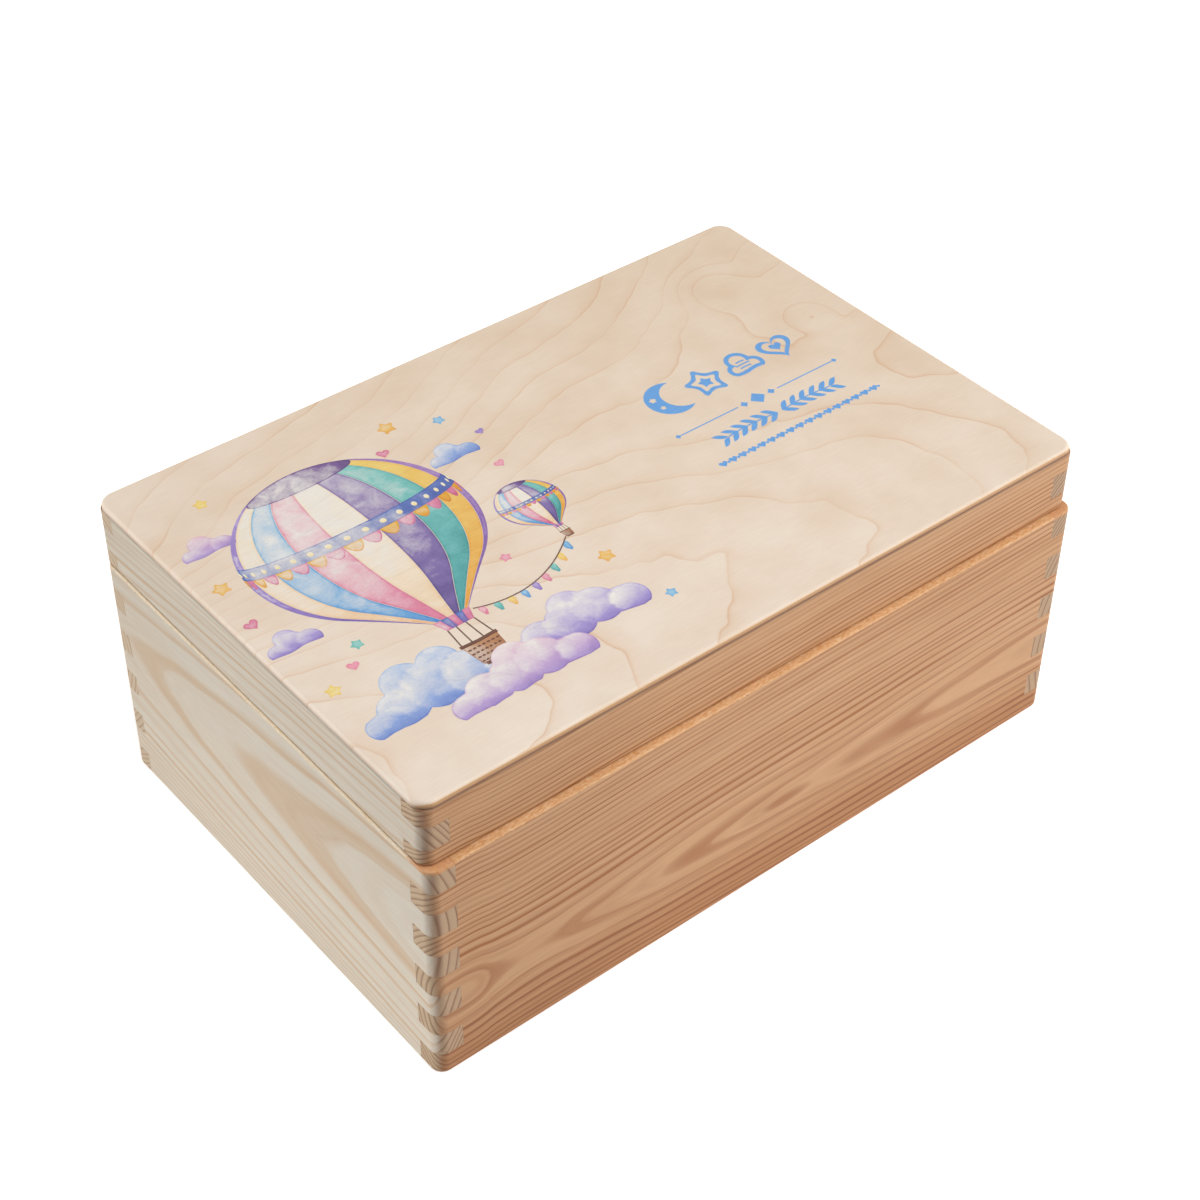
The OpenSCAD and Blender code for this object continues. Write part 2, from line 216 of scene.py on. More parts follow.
def pineMaterial(name, look):
    # sanded raw pine: matt, tan latewood lines on a pale ground, silky streaks along the grain
    material, add, inMm = newMaterial(name)
    x, y, z = add("SeparateXYZ", [inMm]).outputs
    lidPart = add("Math GREATER_THAN", [z, carcass["sawLine"]])
    height = add("Math MULTIPLY_ADD", [lidPart, carcass["liftAboveSaw"], z])
    along, across, halfBox = (x, y, 100) if look["along"] == "X" else (y, x, 150)
    pithAcross, pithHeight = look["pith"]
    fromPith = add("Math SUBTRACT", [across, pithAcross])
    abovePith = add("Math SUBTRACT", [height, pithHeight])
    boardPlace = add("CombineXYZ", [along, fromPith, height])
    radius = add("VectorMath LENGTH", [add("CombineXYZ", [0.0, fromPith, abovePith])])

    # the trunk's taper in mm of radius, then slow waves 90 mm long and 26 mm high, and ripples
    ringMm = add("Math ADD", [radius, addCurve(add, along, look["taper"])])
    for long, deep, high, detail, seed, most in ((90, 40, 26, 1.0, look["seed"], look["waver"]),
                                                 (24, 20, 9, 2.0, look["seed"] + 5, look["ripple"])):
        cell = add("VectorMath MULTIPLY", [boardPlace, (1 / long, 1 / deep, 1 / high)])
        wave = add("TexNoise", {"Vector": cell, "W": seed, "Scale": 1.0, "Detail": detail},
                   noise_dimensions="4D")
        waveMm = add("MapRange", [wave, 0.2, 0.8, -most, most], clamp=False)
        ringMm = add("Math ADD", [ringMm, waveMm])

    # a small burl, where the rings close into an oval
    burlAlong, burlHeight, burlLong, burlHigh, burlMm = look["burl"]
    facePlace = add("CombineXYZ", [along, height])
    burlPlace = add("VectorMath SUBTRACT", [facePlace, (burlAlong, burlHeight, 0)])
    burlOval = add("VectorMath MULTIPLY", [burlPlace, (1 / burlLong, 1 / burlHigh, 0)])
    burlFar = add("VectorMath LENGTH", [burlOval])
    burl = add("MapRange", [burlFar, 0.0, 1.6, -burlMm, 0.0], interpolation_type="SMOOTHSTEP")
    ringMm = add("Math ADD", [ringMm, burl])

    # from mm to the ring count, which is whole where a ring's late wood starts
    fromTip = add("Math SUBTRACT", [ringMm, abs(pithAcross) - halfBox + look["tip"]])
    breadthPlace = add("Math MULTIPLY", [ringMm, 0.16])
    breadth = add("TexNoise", {"W": breadthPlace, "Scale": 1.0, "Detail": 1.0}, noise_dimensions="1D")
    breadthShift = add("MapRange", [breadth, 0.2, 0.8, -look["breadth"], look["breadth"]], clamp=False)
    ringUnit = addCurve(add, fromTip, look["rings"], "VECTOR")
    ringCount = add("Math ADD", [ringUnit, breadthShift])
    ringPart = add("Math FRACT", [ringCount])
    ringNumber = add("Math FLOOR", [ringCount])
    ringDraw = add("Math ADD", [ringNumber, look["ringSeed"]])
    ringChance = add("TexWhiteNoise", {"W": ringDraw}, noise_dimensions="1D")
    # some rings have a broad late wood and some a thin one
    ringTurn = add("SeparateColor", [ringChance.outputs["Color"]]).outputs[1]
    ringGamma = add("MapRange", [ringTurn, 0.0, 1.0, 0.75, 1.35])
    ringBent = add("Math POWER", [ringPart, ringGamma])
    section = setRamp(add("ValToRGB", [ringBent]), look["section"])
    ringStrength = add("MapRange", [ringChance, 0.0, 1.0, 0.55, 1.0])
    vigour = addCurve(add, fromTip, look["vigour"])
    strength = add("Math MULTIPLY", [ringStrength, vigour])
    lateRing = add("Math MULTIPLY", [section, strength])
    # fine growth lines 0.7 mm apart that follow the rings
    streakAcross = add("Math DIVIDE", [ringMm, 0.7])
    streakAlong = add("Math DIVIDE", [along, 60.0])
    streakPlace = add("CombineXYZ", [streakAcross, streakAlong])
    streak = add("TexNoise", {"Vector": streakPlace, "Scale": 1.0, "Detail": 1.0})
    streakShare = add("MapRange", [streak, 0.38, 0.68, -0.3 * look["streak"], look["streak"]])
    lateWood = add("Math ADD", [lateRing, streakShare], use_clamp=True)

    # colour of the long grain, with clouds 60 mm long
    cloudPlace = add("VectorMath MULTIPLY", [boardPlace, (1 / 60, 1 / 18, 1 / 14)])
    cloud = add("TexNoise", {"Vector": cloudPlace, "Scale": 1.0, "Detail": 2.0})
    clouded = add("MapRange", [cloud, 0.35, 0.7, 0.0, 0.6])
    ground = add("Mix RGBA", {0: clouded, 6: look["early"], 7: look["cloudy"]})
    slowWood = add("Mix RGBA", {0: lateWood, 6: ground, 7: look["late"]})
    # fibres 0.35 mm wide and about 14 mm long
    fibrePlace = add("VectorMath MULTIPLY", [boardPlace, (1 / 14, 1 / 0.4, 1 / 0.35)])
    fibre = add("TexNoise", {"Vector": fibrePlace, "Scale": 1.0, "Detail": 2.0, "Roughness": 0.6})
    fibreTone = add("MapRange", [fibre, 0.3, 0.7, 0.915, 1.06], clamp=False)
    # the wood turns slowly warmer or darker towards one edge and one end: partly its own colour, partly
    # painted shade for light that falls unevenly on the board
    for way, (tint, plainAt, tintedAt) in ((height, look["heightShade"]), (along, look["alongShade"])):
        share = add("MapRange", [way, plainAt, tintedAt], interpolation_type="SMOOTHSTEP")
        slowWood = add("Mix RGBA", {0: share, 6: slowWood, 7: tint}, blend_type="MULTIPLY")
    # painted shade in the groove under the lid's panel, darkening the top of the rails
    grooveFrom, grooveTo, grooveShadeLevel = carcass["grooveShade"]
    grooveShade = add("MapRange", [z, grooveFrom, grooveTo, 1.0, grooveShadeLevel], interpolation_type="SMOOTHSTEP")
    faceTone = add("Math MULTIPLY", [fibreTone, grooveShade])
    faceToned = add("VectorMath SCALE", {0: slowWood, "Scale": faceTone})

    # end grain soaks the light up: darker, with crisp ring lines and fine pores
    endSection = setRamp(add("ValToRGB", [ringBent]),
                         [(0.0, 0.9), (0.12, 1.0), (0.3, 0.4), (0.48, 0.06), (0.9, 0.0), (1.0, 0.5)])
    endWood = add("Mix RGBA", {0: endSection, 6: look["endPale"], 7: look["endLine"]})
    pore = add("TexNoise", {"Vector": inMm, "Scale": 2.6, "Detail": 2.0})
    poreTone = add("MapRange", [pore, 0.3, 0.7, 0.88, 1.06], clamp=False)
    endToned = add("VectorMath SCALE", {0: endWood, "Scale": poreTone})
    endGrain = add("Attribute", attribute_name="endGrain").outputs["Fac"]
    endShare = add("MapRange", [endGrain, *carcass["endTurn"]], interpolation_type="SMOOTHSTEP")
    cleanWood = add("Mix RGBA", {0: endShare, 6: faceToned, 7: endToned})
    # painted shade on the rounded corners, strongest at the lid: "turn" peaks at 45 degrees
    lean = add("Math POWER", [endGrain, 2.0])
    leanLeft = add("Math SUBTRACT", [1.0, lean])
    turn = add("Math MULTIPLY", [lean, leanLeft])
    riseFrom, riseTo, least, most = carcass["cornerShadeRise"]
    least, most = least * look["cornerShade"], most * look["cornerShade"]
    paintedCornerShade = add("MapRange", [height, riseFrom, riseTo, least, most])
    cornerShadeShare = add("Math MULTIPLY", [turn, paintedCornerShade])
    wood = add("Mix RGBA", {0: cornerShadeShare, 6: cleanWood, 7: carcass["paintedCornerShade"]}, blend_type="MULTIPLY")

    # the sawn rims: warm fresh wood with fuzzy torn fibres, drawn near white on the side boards as painted
    # light on the narrow ledge in the shadowed gap under the lid
    sawn = add("Attribute", attribute_name="sawn").outputs["Fac"]
    fuzzPlace = add("VectorMath MULTIPLY", [boardPlace, (0.5, 1.7, 1.7)])
    fuzz = add("TexNoise", {"Vector": fuzzPlace, "Scale": 1.0, "Detail": 4.0})
    fuzzTone = setRamp(add("ValToRGB", [fuzz]), zip((0.35, 0.5, 0.68), look["sawn"]))
    # a finger's tip takes more of the saw's heat than the board's long rim
    tipShare = add("MapRange", [y, *carcass["fingerTips"], 1.0, 0.0])
    tipTone = add("Mix RGBA", {0: tipShare, 6: fuzzTone, 7: look["sawnTip"]}, blend_type="MULTIPLY")
    sawnWood = add("Mix RGBA", {0: 0.8, 6: wood, 7: tipTone})
    # the arris along the cut was never sanded, so it is furry too, and it is drawn pale as a painted
    # highlight where the eased edge catches the light
    frayed = add("MapRange", [fuzz, 0.35, 0.7, *look["arris"]])
    arris = add("Math GREATER_THAN", [z, frayed])
    belowCut = add("Math SUBTRACT", [arris, lidPart], use_clamp=True)
    arrisShare = add("Math MULTIPLY", [belowCut, 0.85])
    rimShare = add("Math MAXIMUM", [sawn, arrisShare])
    colour = add("Mix RGBA", {0: rimShare, 6: wood, 7: sawnWood})

    # relief: late wood stands proud by a few hundredths, fibres make it silky
    relief = add("Math MULTIPLY_ADD", [lateWood, 0.6, fibre])
    rimRelief = add("Mix FLOAT", {0: sawn, 2: relief, 3: fuzz})
    gloss = add("MapRange", [lateWood, 0.0, 1.0, 0.62, 0.52])
    endMaterial(add, colour, gloss, rimRelief, 0.5, 0.06)
    return material


frontPine = pineMaterial("sanded pine, front board", frontPineLook)
leftPine = pineMaterial("sanded pine, left board", leftPineLook)
backPine = pineMaterial("sanded pine, back board", backPineLook)
rightPine = pineMaterial("sanded pine, right board", rightPineLook)
print("stage: pine materials")


# a CAD node's mesh with its corners merged
def openNode(nodeName):
    shape = bmesh.new()
    shape.from_mesh(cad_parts[nodeName].data)
    bmesh.ops.remove_doubles(shape, verts=shape.verts, dist=0.001 * mm)
    return shape


# turns the shape into a finished piece: smooth but for its sharp edges, with one modifier made real
def closeShape(shape, pieceName, material, kind, **settings):
    for face in shape.faces:
        face.smooth = True
        face.material_index = 0
    for edge in shape.edges:
        edge.smooth = edge.calc_face_angle(0.0) < math.radians(carcass["smoothTurn"])
    mesh = bpy.data.meshes.new(pieceName)
    shape.to_mesh(mesh)
    shape.free()
    if "custom_normal" in mesh.attributes:
        mesh.attributes.remove(mesh.attributes["custom_normal"])
    mesh.materials.append(material)
    piece = newObject(pieceName, mesh)
    modifier = piece.modifiers.new(kind.lower(), kind)
    for key, value in settings.items():
        setattr(modifier, key, value)
    return makeReal(piece)


def placePiece(piece, nodeName, slot, body):
    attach(piece, body)
    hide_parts(nodeName)


# draws the upright corners in to the tighter radius of the photo, inside the same outline
def tightenCorners(shape, body):
    halfX, halfY, middleY, tight = carcass["outline"][body]
    loose = carcass["cadCorner"]
    for vert in shape.verts:
        x, y = vert.co.x / mm, vert.co.y / mm - middleY
        dx, dy = abs(x) - (halfX - loose), abs(y) - (halfY - loose)
        far = math.hypot(dx, dy)
        if min(dx, dy) > -0.001 and far > loose - carcass["cornerBand"]:  # with 1 micron to spare
            reach = (tight - loose + far) / far
            vert.co.x = math.copysign(halfX - tight + dx * reach, x) * mm
            vert.co.y = (math.copysign(halfY - tight + dy * reach, y) + middleY) * mm


# a board with its end grain and its sawn rims marked on its corners
def dressBoard(nodeName, pieceName, material, slot, body, endAxis):
    shape = openNode(nodeName)
    tightenCorners(shape, body)
    board = closeShape(shape, pieceName, material, "WEIGHTED_NORMAL", keep_sharp=True, weight=90)
    done = board.data
    endGrain = done.attributes.new("endGrain", "FLOAT", "CORNER")
    sawn = done.attributes.new("sawn", "FLOAT", "CORNER")
    normals = done.corner_normals
    for face in done.polygons:
        flat = abs(face.normal.z) > 0.95
        rim = flat and abs(face.center.z / mm - carcass["sawLine"]) < carcass["rimReach"]
        for corner in face.loop_indices:
            endGrain.data[corner].value = abs(normals[corner].vector[endAxis])
            sawn.data[corner].value = 1.0 if rim else 0.0
    placePiece(board, nodeName, slot, body)


boards = {"front": (frontPine, "pine_long_boards", 0), "back": (backPine, "pine_long_boards", 0),
          "left": (leftPine, "pine_side_boards", 1), "right": (rightPine, "pine_side_boards", 1)}
for form, body in (("{}_board", "box"), ("lid_{}_rail", "lid")):
    for side, (pine, slot, endAxis) in boards.items():
        nodeName = form.format(side)
        dressBoard(nodeName, nodeName + "_pine", pine, slot, body, endAxis)
print("stage: boards")

# Rotary-cut birch: pale and satin, with faint brown contour lines that run in tongues, and fine
# straight pores along the length. One group draws it for the panels and under the print. Lengths
# are in mm. A knot is its place, its reach and how far it pushes the contours. "lean" turns the
# contours between two places in y, and "shadedPlies" is the span up the panel's edge over which
# the painted shade under the panel fades out. "nearLit" and "farShaded" are painted light and
# shade across the top, and "endPale" draws the plies weaker on the panel's ends as painted light.
birchLook = {
    "pale": "#F6E6D5", "warm": "#EDD7C0", "line": "#DBA672", "contour": 49.0, "tongueEnd": -18.0,
    "tongueMiddle": -76.0, "tongueBend": 0.027, "rise": 3.1, "lean": (-30.0, 60.0, 1.0, -1.3),
    "broadMm": 42.0, "fineMm": 8.0, "knots": [(130, 27, 16, 60), (112, 66, 26, -75)],
    "shadeWay": (0.55, 0.85, 0.0), "shadeReach": (-110.0, 150.0), "thick": 3.0, "shadedPlies": (0.3, 1.8),
    "glueLine": "#8C5F3E", "coreEdge": "#D0A070", "faceEdge": "#E2BC90", "plyShadeColour": "#7A4E36",
    "endPale": 0.72, "nearLit": "#FFFFFF", "farShaded": "#FAF3E9",
}


def birchGroup(look):
    tree, add, entry = newGroup("rotary-cut birch figure", "ShaderNodeTree", {"Place": "Vector"},
                                {"Color": "Color", "Figure": "Float", "Pores": "Float"})
    placeMm = entry["Place"]
    x, y = add("SeparateXYZ", [placeMm]).outputs[:2]
    # in front the contours are tongues that point right, behind they run up to the right
    front = add("Math MINIMUM", [y, look["tongueEnd"]])
    fromRidge = add("Math SUBTRACT", [front, look["tongueMiddle"]])
    square = add("Math MULTIPLY", [fromRidge, fromRidge])
    behind = add("Math SUBTRACT", [y, look["tongueEnd"]])
    behindMm = add("Math MAXIMUM", [behind, 0.0])
    slope = add("Math MULTIPLY", [behindMm, look["rise"]])
    tongue = add("Math MULTIPLY_ADD", [square, look["tongueBend"], slope])
    lean = add("MapRange", [y, *look["lean"]], interpolation_type="SMOOTHSTEP")
    bark = add("Math MULTIPLY_ADD", [x, lean, tongue])
    # the veneer wanders broadly over 75 mm and a little over 15 mm
    for cell, detail, most in ((75, 0.0, look["broadMm"]), (15, 1.0, look["fineMm"])):
        wander = add("TexNoise", {"Vector": placeMm, "Scale": 1 / cell, "Detail": detail})
        wanderMm = add("MapRange", [wander, 0.0, 1.0, -most, most], clamp=False)
        bark = add("Math ADD", [bark, wanderMm])
    for knotX, knotY, knotReach, knotMm in look["knots"]:
        flat = add("CombineXYZ", [x, y])
        away = add("VectorMath DISTANCE", [flat, (knotX, knotY, 0)])
        swell = add("MapRange", [away, 0.0, knotReach, knotMm, 0.0], interpolation_type="SMOOTHERSTEP")
        bark = add("Math ADD", [bark, swell])
    contour = add("Math DIVIDE", [bark, look["contour"]])
    part = add("Math FRACT", [contour])
    line = setRamp(add("ValToRGB", [part]), [(0.0, 0.1), (0.01, 1.0), (0.026, 0.5), (0.07, 0.22),
                                             (0.2, 0.1), (0.36, 0.0), (0.98, 0.0), (1.0, 0.12)])
    patch = add("TexNoise", {"Vector": placeMm, "Scale": 1 / 35, "Detail": 1.0})
    patchShare = add("MapRange", [patch, 0.35, 0.65, 0.22, 0.68])
    figure = add("Math MULTIPLY", [line, patchShare])
    # pores: 0.3 mm wide dashes about 7 mm long
    porePlace = add("VectorMath MULTIPLY", [placeMm, (1 / 7, 1 / 0.32, 1 / 0.32)])
    pores = add("TexNoise", {"Vector": porePlace, "Scale": 1.0, "Detail": 2.0})
    mottle = add("TexNoise", {"Vector": placeMm, "Scale": 1 / 26, "Detail": 3.0})
    mottled = add("MapRange", [mottle, 0.35, 0.7, 0.0, 0.75])
    ground = add("Mix RGBA", {0: mottled, 6: look["pale"], 7: look["warm"]})
    # painted light and shade: the veneer is drawn palest along the front and darker and warmer towards the
    # far right corner, where less light falls
    cornerWay = add("VectorMath DOT_PRODUCT", [placeMm, look["shadeWay"]])
    cornerShare = add("MapRange", [cornerWay, *look["shadeReach"]])
    paintedFalloff = add("Mix RGBA", {0: cornerShare, 6: look["nearLit"], 7: look["farShaded"]})
    ground = add("Mix RGBA", {0: 1.0, 6: ground, 7: paintedFalloff}, blend_type="MULTIPLY")
    lined = add("Mix RGBA", {0: figure, 6: ground, 7: look["line"]})
    poreTone = add("MapRange", [pores, 0.3, 0.7, 0.965, 1.02], clamp=False)
    toned = add("VectorMath SCALE", {0: lined, "Scale": poreTone})
    add("NodeGroupOutput", [toned, figure, pores])
    return tree


birchFigure = birchGroup(birchLook)


def birchMaterial(name, look, lowMm, shift):
    # sanded birch ply: satin pale face, and three plies with brown glue lines at the edge
    material, add, inMm = newMaterial(name)
    shifted = add("VectorMath ADD", [inMm, shift])
    face = add("Group", [shifted], node_tree=birchFigure).outputs
    z = add("SeparateXYZ", [inMm]).outputs[2]
    up = add("Math SUBTRACT", [z, lowMm])
    wobble = add("TexNoise", {"Vector": inMm, "Scale": 1 / 30, "Detail": 2.0})
    wobbleMm = add("MapRange", [wobble, 0.0, 1.0, -0.12, 0.12], clamp=False)
    upWavy = add("Math ADD", [up, wobbleMm])
    share = add("Math DIVIDE", [upWavy, look["thick"]])
    plyTones = [look[key] for key in ("faceEdge", "faceEdge", "glueLine", "coreEdge", "coreEdge", "glueLine",
                                      "faceEdge")]
    plies = setRamp(add("ValToRGB", [share]), zip((0.0, 0.31, 0.335, 0.36, 0.63, 0.655, 0.68), plyTones))
    edgeGrain = add("TexNoise", {"Vector": inMm, "Scale": 2.2, "Detail": 3.0})
    edgeTone = add("MapRange", [edgeGrain, 0.3, 0.7, 0.9, 1.05], clamp=False)
    # painted shade: the panel's edge darkens to a brown over its lowest mm, for the shadow in the gap under
    # the panel
    unshadedShare = add("MapRange", [upWavy, *look["shadedPlies"]], interpolation_type="SMOOTHSTEP")
    shadedPlies = add("Mix RGBA", {0: unshadedShare, 6: look["plyShadeColour"], 7: plies})
    edgeWood = add("VectorMath SCALE", {0: shadedPlies, "Scale": edgeTone})
    edge = add("Attribute", attribute_name="edge").outputs["Fac"]
    edgeShare = add("MapRange", [edge, 0.12, 0.5], interpolation_type="SMOOTHSTEP")
    colour = add("Mix RGBA", {0: edgeShare, 6: face["Color"], 7: edgeWood})
    relief = add("Math MULTIPLY_ADD", [face["Figure"], 0.15, face["Pores"]])
    gloss = add("MapRange", [face["Pores"], 0.0, 1.0, 0.6, 0.5])
    endMaterial(add, colour, gloss, relief, 0.35, 0.04)
    return material


panelLook = {"topSunk": 0.1, "low": 125.5}  # mm, the ink fills the sunk part


def dressPanel(nodeName, material, body, topSunk):
    shape = openNode(nodeName)
    low = min(v.co.z for v in shape.verts)
    high = max(v.co.z for v in shape.verts)
    for vert in shape.verts:
        vert.co.z -= topSunk * mm * (vert.co.z - low) / (high - low)
    panel = closeShape(shape, nodeName + "_birch", material, "WEIGHTED_NORMAL", keep_sharp=True, weight=90)
    done = panel.data
    edge = done.attributes.new("edge", "FLOAT", "CORNER")
    normals = done.corner_normals
    for corner in range(len(done.loops)):
        normal = normals[corner].vector
        # painted light: the plies' colours are drawn weaker on the ends facing x, which catch the side lamps
        # and look pale
        sideways = normal.x**2 / max(normal.x**2 + normal.y**2, 1e-9)
        edge.data[corner].value = (1 - abs(normal.z)) * (1 - birchLook["endPale"] * sideways)
    placePiece(panel, nodeName, "birch_plywood", body)


lidBirch = birchMaterial("sanded birch plywood, lid", birchLook, panelLook["low"], (0, 0, 0))
bottomBirch = birchMaterial("sanded birch plywood, bottom", birchLook, 0.0, (61, 240, 30))
dressPanel("lid_top_panel", lidBirch, "lid", panelLook["topSunk"])
dressPanel("bottom_panel", bottomBirch, "box", 0.0)
print("stage: plywood")

# A watercolour balloon over clouds, printed straight on the veneer. Each shape is a sheet of ink
# a few hundredths of a millimetre thick. "tint" is its pigment, "shade" runs from thin to dense
# colour and "rim" is the distance in mm from its edge, where the pigment gathers.
inkLook = {
    "bed": 128.38, "first": 128.414, "step": 0.014,  # mm, the sheets' foot, the lowest top and a layer
    "cell": 1.5, "fine": 1.0,  # mm, the size of a sheet's triangles
    "rowStep": 0.87, "rimGap": 0.35,  # in cells, between rows of points and off the outline
    "white": "#F6F1EA", "blue": "#5AA3E6", "string": "#8A6A5C",
}


def newSheet():
    return {"verts": [], "faces": [], "tint": [], "shade": [], "rim": []}


def addInk(sheet, outline, layer, tints, shade, cell=inkLook["cell"], holes=()):
    # one closed sheet: a fine triangle mesh on top, the same mesh below and its edges
    loops = [np.array(loop, float) for loop in (outline, *holes)]
    ring = np.vstack(loops)
    nextRing = np.vstack([np.roll(loop, -1, axis=0) for loop in loops])
    low, high = ring.min(0), ring.max(0)
    inner = []
    for number, y in enumerate(np.arange(low[1] + cell / 2, high[1], cell * inkLook["rowStep"])):
        for x in np.arange(low[0] + cell * (0.25 + 0.5 * (number % 2)), high[0], cell):
            inner.append((x, y))
    inner = np.array(inner) if inner else np.zeros((0, 2))

    def edgeDistance(points):
        along = nextRing - ring
        squared = np.maximum((along**2).sum(1), 1e-12)
        t = np.clip(((points[:, None] - ring) * along).sum(2) / squared, 0, 1)
        near = ring + t[..., None] * along
        return np.sqrt(((points[:, None] - near) ** 2).sum(2).min(1))

    def isInside(points):
        crossing = (ring[:, 1] > points[:, None, 1]) != (nextRing[:, 1] > points[:, None, 1])
        rise = np.where(nextRing[:, 1] == ring[:, 1], 1e-12, nextRing[:, 1] - ring[:, 1])
        atX = ring[:, 0] + (points[:, None, 1] - ring[:, 1]) / rise * (nextRing[:, 0] - ring[:, 0])
        return (crossing & (points[:, None, 0] < atX)).sum(1) % 2 == 1

    if len(inner):
        inner = inner[isInside(inner) & (edgeDistance(inner) > inkLook["rimGap"] * cell)]
    flat = [Vector(p) for p in ring] + [Vector(p) for p in inner]
    edges, first = [], 0
    for loop in loops:
        edges += [(first + i, first + (i + 1) % len(loop)) for i in range(len(loop))]
        first += len(loop)
    made = delaunay_2d_cdt(flat, edges, [], 1, 1e-5)
    points = np.array([(v.x, v.y) for v in made[0]])
    faces = np.array(made[2])
    if holes:
        faces = faces[isInside(points[faces].mean(1))]
    rims = edgeDistance(points)
    upper, lower = [np.array(linear(t)) for t in ((tints, tints) if isinstance(tints, str) else tints)]
    count, start = len(points), len(sheet["verts"])
    for height in (inkLook["first"] + inkLook["step"] * layer, inkLook["bed"]):
        for (x, y), rim in zip(points, rims):
            share = (y - low[1]) / max(high[1] - low[1], 1e-6)
            sheet["verts"].append((x * mm, y * mm, height * mm))
            sheet["tint"].append(tuple(lower + (upper - lower) * share))
            sheet["shade"].append(shade(x, y) if callable(shade) else shade)
            sheet["rim"].append(rim)
    used = set()
    for a, b, c in faces.tolist():
        pa, pb, pc = points[a], points[b], points[c]
        if (pb[0] - pa[0]) * (pc[1] - pa[1]) - (pb[1] - pa[1]) * (pc[0] - pa[0]) < 0:
            b, c = c, b
        sheet["faces"].append((start + a, start + b, start + c))
        sheet["faces"].append((start + count + c, start + count + b, start + count + a))
        used |= {(a, b), (b, c), (c, a)}
    for a, b in used:
        if (b, a) not in used:
            sheet["faces"].append((start + b, start + a, start + count + a, start + count + b))


def addStroke(sheet, path, width, layer, tint, shade=0.7):
    # a brush stroke along a path: three points across, rim 0 at its sides
    path = np.array(path, float)
    ahead = np.vstack([path[1:], 2 * path[-1] - path[-2]])
    back = np.vstack([2 * path[0] - path[1], path[:-1]])
    along = ahead - back
    along /= np.maximum(np.linalg.norm(along, axis=1), 1e-9)[:, None]
    side = np.stack([-along[:, 1], along[:, 0]], 1)
    reach, bed = width / 2, inkLook["bed"]
    top = inkLook["first"] + inkLook["step"] * layer
    start = len(sheet["verts"])
    for point, across in zip(path, side):
        for share, height in ((1, top), (0, top), (-1, top), (1, bed), (-1, bed)):
            x, y = point + across * reach * share
            sheet["verts"].append((x * mm, y * mm, height * mm))
            sheet["tint"].append(linear(tint))
            sheet["shade"].append(shade)
            sheet["rim"].append(reach if share == 0 else 0.0)
    last = start + 5 * (len(path) - 1)
    for a in range(start, last, 5):
        b = a + 5
        sheet["faces"] += [(a, a + 1, b + 1, b), (a + 1, a + 2, b + 2, b + 1), (a + 3, a, b, b + 3),
                           (a + 2, a + 4, b + 4, b + 2), (a + 4, a + 3, b + 3, b + 4)]
    sheet["faces"] += [(start, start + 3, start + 4, start + 2, start + 1),
                       (last, last + 1, last + 2, last + 4, last + 3)]


def sheetMesh(sheet, name, material):
    mesh = newMesh(name, sheet["verts"], faces=sheet["faces"])
    mesh.materials.append(material)
    tint = mesh.attributes.new("tint", "FLOAT_COLOR", "POINT")
    tint.data.foreach_set("color", np.array(sheet["tint"], np.float32).ravel())
    for key in ("shade", "rim"):
        values = mesh.attributes.new(key, "FLOAT", "POINT")
        values.data.foreach_set("value", np.array(sheet[key], np.float32))
    return turnOutward(mesh)


def sheetPiece(sheet, name, material):
    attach(newObject(name, sheetMesh(sheet, name, material)), "lid")


def watercolourMaterial(name, inkWhite):
    # watercolour print: matt, washes that bloom and granulate, darker rims, and the veneer's
    # figure and pores showing faintly through
    material, add, inMm = newMaterial(name)
    wood = add("Group", [inMm], node_tree=birchFigure).outputs
    tint = add("Attribute", attribute_name="tint").outputs["Color"]
    shade = add("Attribute", attribute_name="shade").outputs["Fac"]
    rim = add("Attribute", attribute_name="rim").outputs["Fac"]
    bloom = add("TexNoise", {"Vector": inMm, "Scale": 1 / 9, "Detail": 4.0, "Distortion": 0.8})
    grain = add("TexNoise", {"Vector": inMm, "Scale": 1 / 0.9, "Detail": 3.0})
    waver = add("TexNoise", {"Vector": inMm, "Scale": 1 / 2.4, "Detail": 2.0})
    waverMm = add("MapRange", [waver, 0.0, 1.0, -0.45, 0.45], clamp=False)
    rimMm = add("Math ADD", [rim, waverMm])
    rimDark = add("MapRange", [rimMm, 0.1, 0.75, 0.3, 0.0], interpolation_type="SMOOTHSTEP")
    bloomPart = add("MapRange", [bloom, 0.3, 0.7, -0.2, 0.2], clamp=False)
    grainPart = add("MapRange", [grain, 0.3, 0.7, -0.06, 0.06], clamp=False)
    density = add("Math MULTIPLY_ADD", [shade, 0.85, 0.2])
    for part in (bloomPart, grainPart, rimDark):
        density = add("Math ADD", [density, part])
    wash = add("MapRange", [density, 0.0, 0.75])
    washed = add("Mix RGBA", {0: wash, 6: inkWhite, 7: tint})
    squared = add("Mix RGBA", {0: 1.0, 6: tint, 7: tint}, blend_type="MULTIPLY")
    deep = add("MapRange", [density, 0.7, 1.5, 0.0, 0.85])
    painted = add("Mix RGBA", {0: deep, 6: washed, 7: squared})
    through = add("MapRange", [wood["Figure"], 0.0, 1.0, 1.0, 0.86])
    pores = add("MapRange", [wood["Pores"], 0.3, 0.7, 0.95, 1.03], clamp=False)
    tone = add("Math MULTIPLY", [through, pores])
    colour = add("VectorMath SCALE", {0: painted, "Scale": tone})
    gloss = add("MapRange", [grain, 0.0, 1.0, 0.45, 0.6])
    endMaterial(add, colour, gloss, wood["Pores"], 0.3, 0.03)
    return material


watercolour = watercolourMaterial("watercolour print ink", inkLook["white"])


